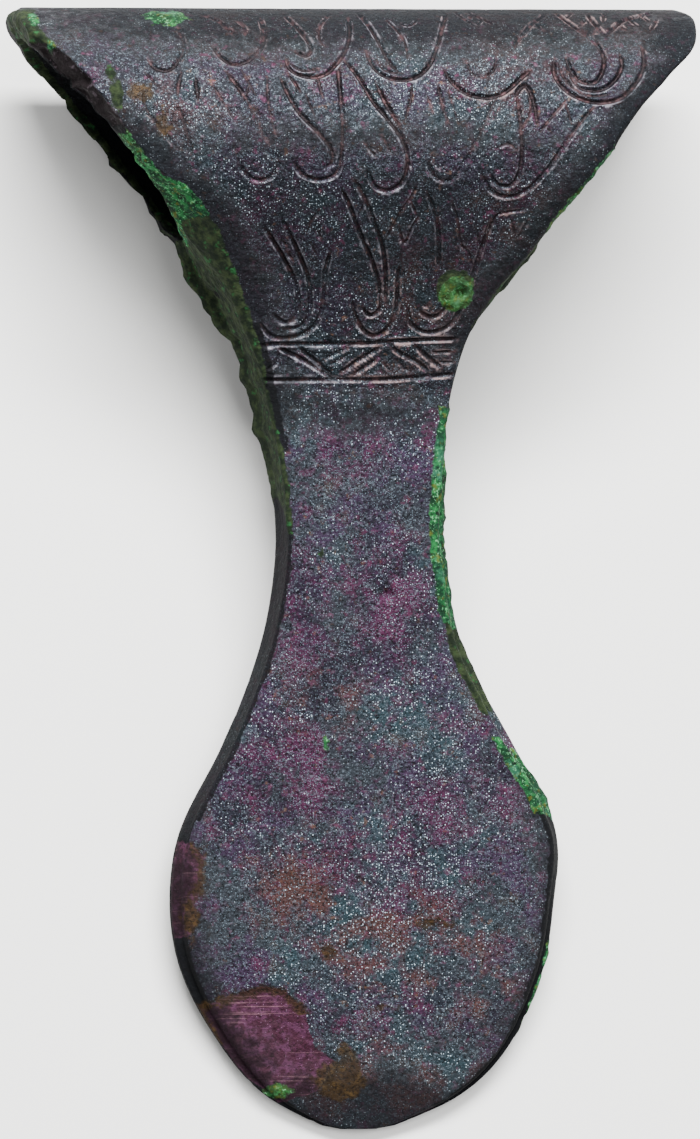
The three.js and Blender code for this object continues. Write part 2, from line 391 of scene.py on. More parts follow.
    def flank(self, t: float, side: Side) -> np.ndarray:
        """Section of one flank, from the front edge down to the back edge.

        Args:
            t: length from the nape.
            side: flank that is wanted.

        Returns:
            Points (x, w): a shoulder, rounded or broken, the flank, the sharp flash fin and the
            back rim.
        """
        one = np.array([t])
        plain = float(self.outline[side].at(one)[0])
        half = plain + float(self.scallop(one, side)[0])
        fin = float(self.flash[side].at(one)[0])
        inset = float(self.inset[side].at(one)[0]) + self.chipped(t, side)
        high = float(self.thickness(one)[0] * self.crown(one, np.ones(1))[0])
        back, seam = min(inset, self.back_inset), min(self.seam_half, self.seam_share * high)
        out = float(self.slope_out[side].at(one)[0])
        down = min(float(self.slope_down[side].at(one)[0]), self.slope_share * high)
        rounded = float(np.clip((t - self.round_start) / self.round_run, self.least_round, 1))
        if side is Side.RIGHT:
            rounded = 1.0
        corners = np.array([
            (plain - inset, high), (plain - inset + out, high - down), (half, seam),
            (half + fin, 0), (half, -seam), (half - self.back_lean * back, -self.back_share * high),
            (half - back, -high)])
        points = []
        for k, cells in enumerate(FLANK_CELLS):
            a, b = corners[k], corners[k + 1]
            for j in range(cells):
                u = j / cells
                bend = np.array([math.sin(0.5 * math.pi * u), 1 - math.cos(0.5 * math.pi * u)])
                points.append(a + (b - a) * (u + (rounded * (bend - u) if k == 0 else 0)))
        points.append(corners[-1])
        return np.array(points) * (side.value, 1)


@dataclass
class Seat:
    """Tips the casting on to its back and carries it into the part's frame."""

    form: CastingForm
    tube: tuple[float, float] = (1.0, 60.0)
    edge_start: float = 130.0
    steepest: float = 0.3
    halvings: int = 40

    def __post_init__(self) -> None:
        """Finds the angle at which tube and cutting edge touch the ground together."""
        flat, steep = 0.0, self.steepest
        for _ in range(self.halvings):
            tip = 0.5 * (flat + steep)
            if self._lowest(tip, *self.tube) < self._lowest(tip, self.edge_start, self.form.length):
                flat = tip
            else:
                steep = tip
        self.tip = flat
        low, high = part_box(NODE)
        self.shift = np.array([self._middle_x(low, high), 0.0, 0.0])
        ground = self._lowest(self.tip, *self.tube) + self.form.rest_flat
        self.shift[2] = -ground
        self.shift[1] = high.y / MM - self._nape()

    def _lowest(self, tip: float, start: float, end: float) -> float:
        """Lowest height of the back over a stretch of the length, tipped by an angle."""
        t = np.arange(start, end + 0.01, 0.25)
        return float(np.min(-self.form.thickness(t) * math.cos(tip) - t * math.sin(tip)))

    def _nape(self) -> float:
        """Farthest reach of the tipped nape along +Y."""
        t = np.linspace(0.14, 12, 200)
        w = -self.form.thickness(t)
        return float(np.max(-t * math.cos(self.tip) - w * math.sin(self.tip)))

    def _middle_x(self, low: Vector, high: Vector) -> float:
        """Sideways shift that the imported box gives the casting.

        Args:
            low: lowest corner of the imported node.
            high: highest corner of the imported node.

        Returns:
            The shift in millimetres.
        """
        t = np.linspace(0.2, 8, 300)
        reach = {
            side: float(np.max(self.form.outline[side].at(t) + self.form.scallop(t, side)
                               + self.form.flash[side].at(t)))
            for side in Side
        }
        return (low.x + high.x) / 2 / MM - (reach[Side.RIGHT] - reach[Side.LEFT]) / 2

    def to_frame(self, p: np.ndarray) -> np.ndarray:
        """From the casting's axes (x, t, w) in millimetres to the frame in metres."""
        c, s = math.cos(self.tip), math.sin(self.tip)
        y, z = -p[:, 1], p[:, 2]
        return (np.stack([p[:, 0], y * c - z * s, y * s + z * c], 1) + self.shift) * MM

    def to_casting(self, p: np.ndarray) -> np.ndarray:
        """From the frame in metres back to the casting's axes in millimetres."""
        c, s = math.cos(self.tip), math.sin(self.tip)
        q = p / MM - self.shift
        return np.stack([q[:, 0], -(q[:, 1] * c + q[:, 2] * s), -q[:, 1] * s + q[:, 2] * c], 1)


# ---- ornament -----------------------------------------------------------------------
Line = tuple[tuple[float, float], ...]
NAPE_MARGIN = 0.15    # the lines stop this short of the nape


def ridge(place: np.ndarray, crest: float, spread: float) -> np.ndarray:
    """Bell curve that is 1 at its crest."""
    return np.exp(-((place - crest) / spread) ** 2)


@dataclass(frozen=True)
class Stroke:
    """One line of the graver over the decorated face, through stations (x, t)."""

    points: Line
    half: float
    depth: float
    fresh: float

    def path(self, form: CastingForm, step: float = 0.3) -> np.ndarray:
        """The line drawn smoothly over the face.

        Args:
            form: casting whose face it follows.
            step: spacing of the points.

        Returns:
            Points (x, t, w), one per row.
        """
        p = np.asarray(self.points, float)
        run = np.concatenate([[0.0], np.cumsum(np.linalg.norm(np.diff(p, axis=0), axis=1))])
        u = np.linspace(0, run[-1], max(3, int(run[-1] / step) + 1))
        x, t = (Stations(tuple(zip(run, p[:, k]))).at(u) for k in (0, 1))
        t = np.maximum(t, NAPE_MARGIN)
        return np.stack([x, t, form.face(x, t)], 1)


@dataclass(frozen=True)
class Motif:
    """One hooked plant: its bold and fine lines, and how far wear has left them."""

    fresh: float
    bold: tuple[Line, ...]
    fine: tuple[Line, ...] = ()


NAPE_PLANTS: tuple[Motif, ...] = (
    Motif(0.5, (
        ((-32.2, 7.6), (-31.1, 9), (-29.4, 9.3), (-27.9, 8.1), (-26.7, 5.9), (-27.1, 3)),
        ((-23.5, 0.9), (-20.8, 2.3), (-19.1, 4.4)))),
    Motif(0.75, (
        ((-22.6, 5.8), (-21.3, 7.6), (-19.8, 8.4), (-17.6, 7.8), (-15.6, 6), (-14.9, 4),
         (-14.9, 1.4)),),
        (((-18.5, 1.9), (-17.5, 3), (-17.7, 4.6)),)),
    Motif(0.8, (
        ((-12.4, 6.9), (-11.8, 9), (-9.6, 10.1), (-7.1, 9.9), (-5.2, 8.4), (-3.6, 6.4), (-2.6, 4),
         (-2.2, 1.4)),
        ((-11, 6.3), (-9.4, 7.1), (-8.5, 6.4), (-8.7, 5), (-9.8, 3.2), (-11.4, 1))),
        (((-4.5, 0.9), (-6.5, 2.7), (-7, 4.7), (-6.3, 5.9)),
         ((-12, 8), (-10.2, 9.2), (-7.6, 9)))),
    Motif(0.95, (
        ((-0.6, 6.2), (0.3, 8.8), (2.2, 10.2), (4.7, 10.5), (6.8, 9.8), (8.5, 8.1), (9.8, 5.6),
         (11, 3), (12.2, 0.8)),
        ((3.6, 9.2), (2.5, 7.8), (1.6, 5.4), (0.5, 2.7), (-0.6, 0.7))),
        (((3.1, 1.6), (4.3, 3.2), (5.2, 5.1), (5.2, 7.5)),
         ((0.6, 7.4), (1.8, 9.1), (4.4, 9.6)),
         ((7.9, 1.7), (6.2, 2.7), (4.9, 2.3)))),
    Motif(0.85, (
        ((10.4, 9.2), (11.6, 11.1), (13.7, 12.6), (16.6, 13), (18.8, 12.3), (21.1, 10.4),
         (22.9, 9)),
        ((20.8, 6.2), (21.2, 5.2), (22.4, 4), (23.9, 2.5), (26.8, 0.8))),
        (((13.5, 7.4), (14.2, 9.3), (15.9, 10.1), (17.5, 9), (18.2, 7)),
         ((13.4, 0.3), (14.6, 1.7), (16.2, 2.9)), ((15.2, 0.4), (17, 1.6), (18.9, 2.6)),
         ((14.9, 1.9), (16.1, 1)), ((16, 2.7), (17.2, 1.7)))),
    Motif(1.0, (
        ((26.4, 7.4), (26.2, 9.6), (27.4, 11.7), (29.6, 13.1), (32.4, 13.7), (35.4, 13.1),
         (37.4, 11.4), (38.9, 9.2), (39.4, 7.2), (39.2, 5.6)),
        ((28.2, 9.4), (29.9, 11.6), (32.6, 11.9), (34.9, 10.4), (36.1, 8.3), (35.9, 6.4)),
        ((28, 6.9), (28.6, 9), (30, 10.7), (31.9, 10.8), (33.1, 9.4), (33.6, 7.3), (32.9, 5.4),
         (31.3, 3.8), (29.6, 2.3), (28, 0.6)),
        ((32.5, 0.7), (33.3, 2.5), (34.3, 3.8), (37.1, 2), (42.4, 0.5))),
        (((27, 8.2), (27.5, 10.1), (29.2, 11.9), (31.2, 12.7), (34.2, 12.5)),
         ((36.4, 2.2), (37.8, 3.4)), ((38.1, 1.5), (39.6, 2.8)), ((42.6, 1.4), (40.9, 3.4)),
         ((35.2, 0.5), (34.4, 2.2)), ((40, 0.6), (41.4, 2.2)), ((30.5, 2.9), (32.3, 1.6)),
         ((31.9, 4.3), (33.4, 3)), ((29.2, 1.6), (30.6, 0.6)), ((24.6, 2.4), (25.4, 3.4)))),
)
MIDDLE_PLANTS: tuple[Motif, ...] = (
    Motif(0.5, (
        ((-20.4, 19.4), (-19.2, 23.2), (-16.7, 24.9), (-14.4, 23.9), (-13.5, 20.8)),
        ((-21, 9.5), (-18.2, 13.6), (-16.4, 17.6), (-15.2, 20))),
        (((-23.2, 11.3), (-21.6, 13.9), (-19.7, 17)), ((-18.9, 9), (-16.9, 13)),
         ((-17.7, 11), (-18.7, 13.6)), ((-17, 14.2), (-16.2, 17.4)))),
    Motif(0.75, (
        ((-27.4, 9.6), (-28, 11.4), (-28.2, 13)), ((-25.5, 10.1), (-25.3, 13.6)),
        ((-28.3, 14.2), (-27, 18.4), (-26.4, 21.9))),
        (((-32.9, 9.3), (-30.4, 12.1)), ((-28.3, 14.1), (-29.3, 17.9)), ((-30.4, 15.2),
                                                                         (-30.2, 17.4)),
         ((-33.2, 12.4), (-32.7, 15), (-31, 17.3), (-28.4, 20.7)))),
    Motif(0.85, (
        ((-11.8, 22.2), (-10.3, 24.1), (-7.8, 24.8), (-5.6, 23.9), (-4.9, 21.6), (-4.7, 17.3),
         (-4.8, 13), (-4.9, 8.4)),
        ((-13.4, 10.2), (-11.2, 14.8), (-7.8, 18.5), (-6.2, 20.8), (-6.2, 22.4), (-7.4, 23.3))),
        (((-15.2, 9.3), (-15.2, 13.9), (-14.3, 18.7)), ((-9.8, 12.6), (-8.6, 15.9)),
         ((-12.2, 9.6), (-10.5, 12.4)), ((-8, 9.8), (-7.4, 13.2)))),
    Motif(0.95, (
        ((-3.9, 7.6), (-2.2, 10), (-0.2, 13.6), (2.2, 16.6), (3.9, 19.2), (4.7, 22.2), (4, 25),
         (2.1, 26.3), (0, 25.6), (-1.2, 23.2)),
        ((0.3, 10.6), (1.3, 13.2), (2.6, 15.6), (3.8, 17.6))),
        (((5.6, 11.2), (5, 14.4), (4.1, 16.8)), ((-1.8, 19.3), (0.5, 21.9)),
         ((0.9, 18.4), (2.5, 21.3)), ((0, 12.4), (1.2, 12)), ((1.4, 14.9), (2.4, 14.4)))),
    Motif(0.55, (
        ((7.4, 21.9), (9.2, 24.7), (11.4, 24.5), (12.9, 22.3), (14.9, 18.7), (17.3, 13.4)),
        ((9.2, 11.2), (10, 15), (10.9, 17.4))),
        (((8, 21.2), (9.3, 23), (10.9, 22)), ((10.7, 11.9), (12.1, 17.3)),
         ((18.2, 13.9), (17, 16.1)), ((7.6, 12.6), (8.4, 15.4)), ((13.6, 15.8), (12.8, 18.4)))),
    Motif(0.8, (
        ((15.2, 23.8), (17.2, 26.5), (19.8, 27.1), (22.5, 25.8), (25, 23), (28, 18.7),
         (31.6, 14.2)),
        ((16.5, 23.8), (17.9, 25.5), (19.7, 25.5), (20.8, 23.7), (21.1, 20.1), (20.6, 12.8)),
        ((20.2, 13.1), (21, 11.8), (21.9, 11.3), (22.8, 13), (23.4, 17.2))),
        (((17.5, 20.3), (19, 19.6), (20.4, 20.5)), ((21.3, 17.3), (22.4, 15.1), (22.3, 12.6)),
         ((23.7, 18), (25.4, 15.8), (27.6, 13.4)), ((27.6, 13.8), (28.3, 17)),
         ((24.4, 17), (25.6, 18.2)))),
)
LOWER_PLANTS: tuple[Motif, ...] = (
    Motif(0.9, (
        ((-15.2, 45), (-13.4, 46.9), (-11, 47.1), (-8.2, 46.2), (-6.6, 43.9), (-6.2, 40.4),
         (-6.2, 37.6), (-5.6, 34.8)),
        ((-13.4, 43.8), (-11.7, 44.9), (-10.3, 44.4), (-9.8, 42.7), (-10.2, 39.8), (-11.8, 36.7),
         (-13.5, 34.1), (-15.4, 31.5)),
        ((-11.6, 46), (-9.2, 45.4), (-8.2, 43.6), (-8.2, 41), (-8.7, 38.4), (-10.3, 35),
         (-11.7, 32.4), (-13.2, 30))),
        (((-11.9, 34.9), (-10.8, 36.4)), ((-12.9, 33.1), (-11.8, 34.4)),
         ((-9.4, 32.9), (-8.6, 30.4), (-7.6, 28.9)), ((-8.6, 33.6), (-7.5, 35.6)),
         ((-7.9, 31.7), (-6.9, 33.5)), ((-10.6, 38.2), (-9.6, 39.4)))),
    Motif(0.95, (
        ((-2.2, 41.4), (-1.4, 44.1), (-0.1, 46.1), (1.4, 46.8), (3.1, 45.9), (4.1, 44),
         (4.4, 41.6), (4.3, 39.3), (4.4, 36.6)),
        ((-0.7, 42.7), (0.7, 43.9), (2, 42.9), (1.9, 40.4), (0.9, 37.3), (-0.5, 34.4),
         (-2.1, 31.2), (-3.5, 28.1), (-4.7, 26.1)),
        ((2.7, 42.4), (2.6, 38.9), (2.2, 35.9), (1.5, 33.3), (0.4, 30.9), (-0.7, 28.5),
         (-2, 26.1), (-3.2, 24.4))),
        (((-2.2, 30.4), (-1.2, 27.8)), ((0.2, 35.4), (1, 37.6)), ((-0.9, 32.7), (0.2, 34.4)),
         ((2, 33.4), (3.4, 30.6), (4.2, 29), (5.4, 27.2), (6.2, 25.4)),
         ((3.8, 31), (4.9, 33.7), (5.7, 31.7), (6.9, 29.6)), ((5.4, 27.7), (6.5, 30)))),
    Motif(0.8, (
        ((5.9, 42.3), (6.5, 44.9), (8.3, 46.2), (10.6, 46.1), (12.5, 44.9), (13.7, 42.6),
         (14.8, 39.4), (15.9, 35), (17.2, 30.2)),
        ((7.5, 43.1), (9.1, 44.1), (10.6, 43.8), (11.8, 42.4)),
        ((10.1, 37.3), (9.8, 33), (9.2, 29.9), (7.6, 26.3))),
        (((7.8, 41.9), (8.7, 42.7), (9.3, 41.4)), ((15, 31.7), (15.9, 34.4)),
         ((11.2, 27.6), (12.2, 30.1), (13.1, 33.8), (14.4, 35.2), (14.8, 37.2)),
         ((19.8, 29.9), (20.5, 31.8), (21.2, 33.6)), ((20.9, 33.6), (22.6, 30.1)),
         ((16.5, 34.1), (17.8, 29.9), (20, 29.2), (22, 29)), ((9.2, 27.6), (9.7, 30.4)))),
)
NECK_BAND: Motif = Motif(1.0, (
    ((-15.2, 48.2), (-12, 48), (-6, 48), (0, 47.9), (6, 47.5), (13.4, 47.2)),
    ((-15.3, 53.1), (-10, 53.1), (-4, 53), (2, 53), (8, 52.7), (13.4, 52.2)),
    ((-12.6, 48.4), (-8.6, 50.3), (-4.2, 52.9)), ((-9.6, 48.3), (-6.9, 50.4), (-4.1, 52.7)),
    ((-3.9, 52.6), (-0.8, 50.3), (2.9, 48.1)), ((-1.8, 52.6), (1, 50.7), (2.2, 49.9)),
    ((3.5, 48.1), (5.6, 49.5), (7.7, 50.5), (9.7, 52.2)), ((7.3, 48.1), (9.3, 49.9), (11.6, 51.6)),
), (
    ((-14.5, 51.9), (-12.6, 50.7), (-12.2, 48.9)), ((-6, 50.3), (-3.4, 49), (-1.4, 48.2)),
    ((-5.2, 51.2), (-2.4, 49.6)), ((4.4, 50), (6.8, 52.2)), ((2.6, 50.4), (4, 51.9)),
    ((9.4, 49.2), (13.2, 49)), ((10.6, 50.6), (13.2, 50.5)),
))


@dataclass
class Engraving:
    """The graver's ornament: three rows of hooked plants over a banded neck."""

    form: CastingForm
    bold_half: float = 0.38
    bold_depth: float = 0.5
    fine_half: float = 0.27
    fine_depth: float = 0.3
    margin: float = 1.6              # no line matters farther away than this
    taper: float = 1.2               # length over which the end of a line fades
    lip_share: float = 0.28          # height of a lip, as a share of the cut's depth
    lip: tuple[float, float] = (1.35, 0.3)     # crest and spread, in half widths of the cut
    pale: tuple[float, float] = (1.2, 0.4)     # the same for the lip's pale streak, painted highlight and pale fill
    shade_and_grime_reach: float = 1.9                # reach of the dark line, painted shade and dirt, in half widths of the cut
    bulge_lit_and_worn: tuple[float, float] = (6.0, 22.0)  # the head bulges towards the light here: its lines are rubbed, and only their lower lips get the painted highlight
    nape: tuple[Motif, ...] = NAPE_PLANTS
    middle: tuple[Motif, ...] = MIDDLE_PLANTS
    bottom: tuple[Motif, ...] = LOWER_PLANTS
    band: Motif = NECK_BAND

    def strokes(self) -> list[Stroke]:
        """Every line of the ornament, the bold ones first within each plant."""
        found = []
        for motif in (*self.nape, *self.middle, *self.bottom, self.band):
            found += [Stroke(p, self.bold_half, self.bold_depth, motif.fresh) for p in motif.bold]
            found += [Stroke(p, self.fine_half, self.fine_depth, motif.fresh) for p in motif.fine]
        return found

    def reach(self, p: np.ndarray) -> tuple[np.ndarray, ...]:
        """How deep the ornament cuts at places on the casting.

        Args:
            p: places (x, t, w) in casting millimetres.

        Returns:
            Depth of the cut, height of the burr beside it, nearness to a line from 0 to 1 (it
            sets the painted shade and dirt along the cuts), and paleness: a painted highlight on
            the lip below the lines where the head bulges towards the light, pale fill in both lips
            elsewhere.
        """
        cut, burr, near, pale = (np.zeros(len(p)) for _ in range(4))
        top, foot = self.bulge_lit_and_worn
        bulge_lit_and_worn = smooth(top, top + 3, p[:, 1]) * smooth(foot, foot - 5, p[:, 1])
        for stroke in self.strokes():
            path = stroke.path(self.form)
            low, high = path.min(0) - self.margin, path.max(0) + self.margin
            here = np.flatnonzero(((p > low) & (p < high)).all(1))
            if not len(here):
                continue
            a, b = path[:-1], path[1:]
            run, offset = b - a, p[here][:, None] - a[None]
            span = (run**2).sum(1)
            u = np.clip((offset * run).sum(2) / span, 0, 1)
            gap = np.linalg.norm(offset - u[..., None] * run, axis=2)
            k = gap.argmin(1)
            row = np.arange(len(here))
            gap = gap[row, k]
            below = (offset[row, k, 1] - u[row, k] * run[k, 1]) / np.maximum(gap, 1e-6)
            place = (k + u[row, k]) / len(a)
            fade = self.taper / np.sqrt(span).sum()
            taper = np.minimum(smooth(0, fade, place), smooth(0, fade, 1 - place))
            half = stroke.half * (0.55 + 0.45 * taper)
            depth = stroke.depth * stroke.fresh * (0.2 + 0.8 * taper)
            away = gap / half
            # dark line along each cut: painted shade in the groove, with dirt
            dark = np.clip(1 - gap / (half * self.shade_and_grime_reach), 0, 1) * (0.7 + 0.3 * stroke.fresh)
            # pale streak on the lips: a painted highlight on the lower lip where the head bulges
            # towards the light, pale fill on both lips elsewhere
            streak = ridge(away, *self.pale) * stroke.fresh * (0.3 + 0.7 * taper)
            streak *= np.maximum(smooth(-0.2, 0.8, below), 0.7 * (1 - bulge_lit_and_worn[here]))
            for layer, amount in ((cut, depth * np.clip(1 - away**2, 0, 1)),
                                  (burr, self.lip_share * depth * ridge(away, *self.lip)),
                                  (near, dark), (pale, streak)):
                layer[here] = np.maximum(layer[here], amount)
        # the painted shade of the cuts is darkest on the lit bulge of the head
        return cut, burr * (cut < 0.01), near * (0.8 + 0.2 * bulge_lit_and_worn), pale


# ---- where the surface has changed, and where shade is painted ----------------------
EDGE_MM = 1.2    # an amount of a zone rises from 0 to 1 over twice this distance across its edge
CLOUD_MM = 4.5   # the same for zones with no clear edge
NOWHERE = -9.0   # distance inside a zone's edge that stands for well outside it
THINNING = 0.35  # how far a zone with no amount at all would be lowered
CLOUDY = (Zone.WARM, Zone.DUSK, Zone.TINT)
CRUSTY = (Zone.CRUST, Zone.OLIVE)


@dataclass(frozen=True)
class Spot:
    """Oval patch on the decorated face, centred at (x, t)."""

    zone: Zone
    x: float
    t: float
    wide: float
    long: float
    amount: float = 1.0

    def inside(self, x: np.ndarray, t: np.ndarray) -> np.ndarray:
        """Distance inside the patch's edge, below 0 outside it."""
        away = np.hypot((x - self.x) / self.wide, (t - self.t) / self.long)
        return (1 - away) * min(self.wide, self.long)


def spots(zone: Zone, *ovals: tuple[float, ...]) -> tuple[Spot, ...]:
    """Patches of one zone, each given as x, t, half width, half length and perhaps amount."""
    return tuple(Spot(zone, *oval) for oval in ovals)


@dataclass(frozen=True)
class Patch:
    """Patch on the decorated face inside a closed line of places (x, t)."""

    zone: Zone
    line: Line
    amount: float = 1.0

    def inside(self, x: np.ndarray, t: np.ndarray) -> np.ndarray:
        """Distance inside the patch's edge, below 0 outside it."""
        ends = np.asarray(self.line, float)
        near, crossings = np.full(len(x), 1e9), np.zeros(len(x), int)
        for a, b in zip(ends, np.roll(ends, -1, axis=0)):
            run = b - a
            u = np.clip(((x - a[0]) * run[0] + (t - a[1]) * run[1]) / (run @ run), 0, 1)
            near = np.minimum(near, np.hypot(x - a[0] - u * run[0], t - a[1] - u * run[1]))
            across = (a[1] > t) != (b[1] > t)
            crossings += across & (x < a[0] + (t - a[1]) * run[0] / (run[1] or 1e-9))
        return np.where(crossings % 2 == 1, near, -near)


@dataclass(frozen=True)
class Run:
    """Stretch of one flank, reaching inwards from the contour or from the face's edge.

    It lies on the decorated half (face 1), on the back half (-1) or on both (0).
    """

    zone: Zone
    side: Side
    start: float
    end: float
    reach: float
    amount: float = 1.0
    face: int = 0
    from_edge: bool = False


FLAKE_EDGE: Line = (
    (-21.6, 141.9), (-17.0, 140.5), (-13.6, 139.5), (-10.6, 140.2), (-8.0, 142.8), (-6.6, 146.6),
    (-6.8, 148.2), (-3.4, 150.2), (-5.8, 154.6), (-11.0, 156.0), (-16.0, 152.5), (-20.5, 147.5),
    (-23.5, 142.5))
SCAR_EDGE: Line = (
    (-27.5, 118.0), (-24.0, 119.2), (-22.2, 120.8), (-22.6, 124.5), (-23.4, 128.5),
    (-24.0, 132.5), (-27.5, 133.0))


@dataclass
class Survey:
    """Places on the casting, what is known of each, and the zones found there so far."""

    form: CastingForm
    places: np.ndarray
    normal: np.ndarray
    edges: Texture = Texture(0.0, ((0.55, Noise(2.6, 3)), (0.3, Noise(0.9, 8, 2))))

    def __post_init__(self) -> None:
        """Works out the noises and directions that the zones share."""
        p = self.places
        self.x, self.t, self.w = p.T
        self.ragged = self.edges.at(p)
        self.drift, self.holes, self.bare = (
            Noise(8.0, 71).at(p), Noise(3.4, 73).at(p), Noise(6.0, 75).at(p))
        self.height = self.w / self.form.thickness(self.t)
        self.sideways = smooth(0.5, 0.8, np.abs(self.normal[:, 0]))
        self.found = {zone: np.full(len(p), -1.0) for zone in Zone}

    def put(self, zone: Zone, inside: np.ndarray, amount: float) -> None:
        """Raises a zone to what a distance inside its edge gives.

        Args:
            zone: zone to raise.
            inside: millimetres inside the zone's edge, below 0 outside it.
            amount: 1 for a full patch, less for one that is thin or broken.
        """
        edge = CLOUD_MM if zone in CLOUDY else EDGE_MM
        level = 0.5 + (inside + 0.5 * self.ragged) / (2 * edge) - THINNING * (1 - amount)
        self.found[zone] = np.maximum(self.found[zone], level)


@dataclass
class PatinaAndShadeMap:
    """Where corrosion, breaks and stains lie on the casting, and where shade is painted on it."""

    form: CastingForm
    patches: tuple[Spot | Patch, ...] = (
        *spots(Zone.CRUST, (-28.4, 1.7, 2.9, 1.1), (-47.6, 2.2, 0.9, 1.2, 0.8),
            (12.9, 40.9, 2.4, 2.5), (-5.0, 105.0, 0.6, 1.0, 0.9), (-11.6, 154.4, 2.6, 1.2, 0.7),
            (-45.8, 5.8, 0.7, 1.4, 0.7)),
        *spots(Zone.OLIVE, (-36.9, 12.6, 1.2, 2.4, 0.8), (-5.8, 77.6, 0.4, 0.8, 0.9),
            (12.6, 40.0, 2.9, 2.9, 0.8), (-37.6, 9.6, 0.9, 1.2, 0.8)),
        *spots(Zone.OCHRE, (-2.6, 153.0, 4.4, 3.2, 0.5), (-1.2, 150.6, 1.5, 2.2, 0.8),
            (-4.4, 134.4, 1.2, 1.2, 0.7), (10.5, 130.6, 5.2, 1.0, 0.35),
            (3.5, 142.6, 5.5, 0.8, 0.3), (-2.2, 148.6, 1.4, 1.2, 0.7),
            (-24.4, 129.5, 1.2, 3.2, 0.8), (-33.5, 12.5, 2.5, 2.0, 0.2),
            (-30.4, 17.0, 1.5, 3.2, 0.2)),
        *spots(Zone.WARM, (-17.0, 2.5, 9.0, 5.0), (30.0, 2.5, 16.0, 5.0), (-31.0, 14.5, 9.0, 5.0),
            (20.0, 9.0, 8.0, 6.0), (9.0, 40.5, 9.0, 6.5), (6.0, 50.5, 9.0, 5.0),
            (-4.5, 99.0, 5.5, 4.5), (6.0, 133.0, 14.0, 7.0), (2.0, 153.0, 17.0, 6.0),
            (19.0, 141.0, 4.5, 4.0), (24.0, 33.0, 8.0, 8.0), (-9.0, 126.0, 8.0, 6.0)),
        *spots(Zone.TINT, (-9.6, 108.5, 8.5, 7.0), (9.0, 117.0, 5.5, 6.5), (5.5, 85.0, 6.0, 9.0),
            (-1.5, 62.0, 5.0, 5.0), (21.5, 109.0, 4.5, 7.0), (-5.0, 123.0, 9.0, 5.0),
            (15.0, 35.5, 5.0, 5.0), (-9.0, 86.0, 4.0, 9.0), (8.0, 129.0, 6.0, 4.0),
            (-16.0, 30.0, 4.0, 6.0)),
        # painted shade on the nape's top, under the highlight, below the neck band, at the edges
        # and the blade's ends, with dark patina clouds
        *spots(Zone.DUSK, (-1.0, 57.8, 15.0, 2.8, 0.8), (-13.5, 56.5, 5.0, 5.0),
            (0.0, 160.0, 20.0, 9.0), (0.0, -1.0, 60.0, 7.4), (45.0, 4.0, 6.0, 5.0),
            (-26.5, 126.0, 4.0, 9.0), (-21.0, 151.0, 9.0, 6.0), (-2.0, 18.6, 40.0, 2.4, 0.5)),
        Patch(Zone.FLAKE, FLAKE_EDGE), Patch(Zone.FLAKE, SCAR_EDGE, 0.8),
    )
    runs: tuple[Run, ...] = (
        Run(Zone.BREAK, Side.LEFT, 4.5, 18.0, 0.1, face=1, from_edge=True),
        Run(Zone.OLIVE, Side.LEFT, 0.5, 5.5, 2.4),
        Run(Zone.CRUST, Side.LEFT, 17.5, 30.0, 0.1, face=1, from_edge=True),
        Run(Zone.OLIVE, Side.LEFT, 27.5, 52.0, 0.1, face=1, from_edge=True),
        Run(Zone.OLIVE, Side.LEFT, 33.0, 75.0, 1.1),
        Run(Zone.OLIVE, Side.LEFT, 2.0, 33.0, 1.6, face=-1),
        # the dark rim and dark cloud runs below are painted shade along the flanks and the face's
        # edges
        Run(Zone.RIM, Side.LEFT, 134.0, 157.0, 1.6), Run(Zone.RIM, Side.RIGHT, 112.0, 157.0, 1.5),
        Run(Zone.DUSK, Side.RIGHT, 2.0, 50.0, 4.8), Run(Zone.DUSK, Side.LEFT, 128.0, 158.0, 4.5),
        Run(Zone.DUSK, Side.LEFT, 15.0, 46.0, 4.5, from_edge=True),
        Run(Zone.DUSK, Side.RIGHT, 112.0, 158.0, 2.6),
        Run(Zone.RIM, Side.LEFT, 52.0, 116.0, 0.2, face=1, from_edge=True),
        Run(Zone.RIM, Side.LEFT, 45.0, 63.0, 1.1, face=1, from_edge=True),
        Run(Zone.RIM, Side.LEFT, 108.0, 160.0, -1.0, face=1, from_edge=True),
        Run(Zone.RIM, Side.RIGHT, 5.0, 50.0, 0.7), Run(Zone.CRUST, Side.RIGHT, 19.5, 33.0, 0.7),
        Run(Zone.OLIVE, Side.RIGHT, 30.0, 46.0, 1.0, 0.8),
        Run(Zone.CRUST, Side.RIGHT, 57.0, 88.0, 1.5), Run(Zone.OLIVE, Side.RIGHT, 86.0, 101.0, 1.4),
        Run(Zone.CRUST, Side.RIGHT, 104.0, 115.0, 1.9),
        Run(Zone.CRUST, Side.RIGHT, 132.0, 143.0, 0.5, 0.6),
    )

    ring: float = 0.3                # how far a stain ring starts outside the flaked patch
    face_drift: float = 1.5          # how far the ends of a stretch wander on the faces
    flank_drift: float = 9.0         # and how much more in the middle of the flank
    hole_drift: float = 1.5
    crust_width: float = 1.5         # a flank's crust is solid this far in, and then holed
    hole_depth: float = 4.2
    hole_lean: float = 0.3
    face_cover: float = 6.0
    worn: tuple[float, float] = (62.0, 50.0)          # from the neck up to the head
    bore_wall: tuple[float, float] = (1.03, 1.005)    # in half widths of the haft hole
    # strength of the painted shade on the flanks and in the haft hole, and how much of it bare
    # places leave off
    flank_shade_amount: float = 0.85
    flank_shade_bared: float = 0.7

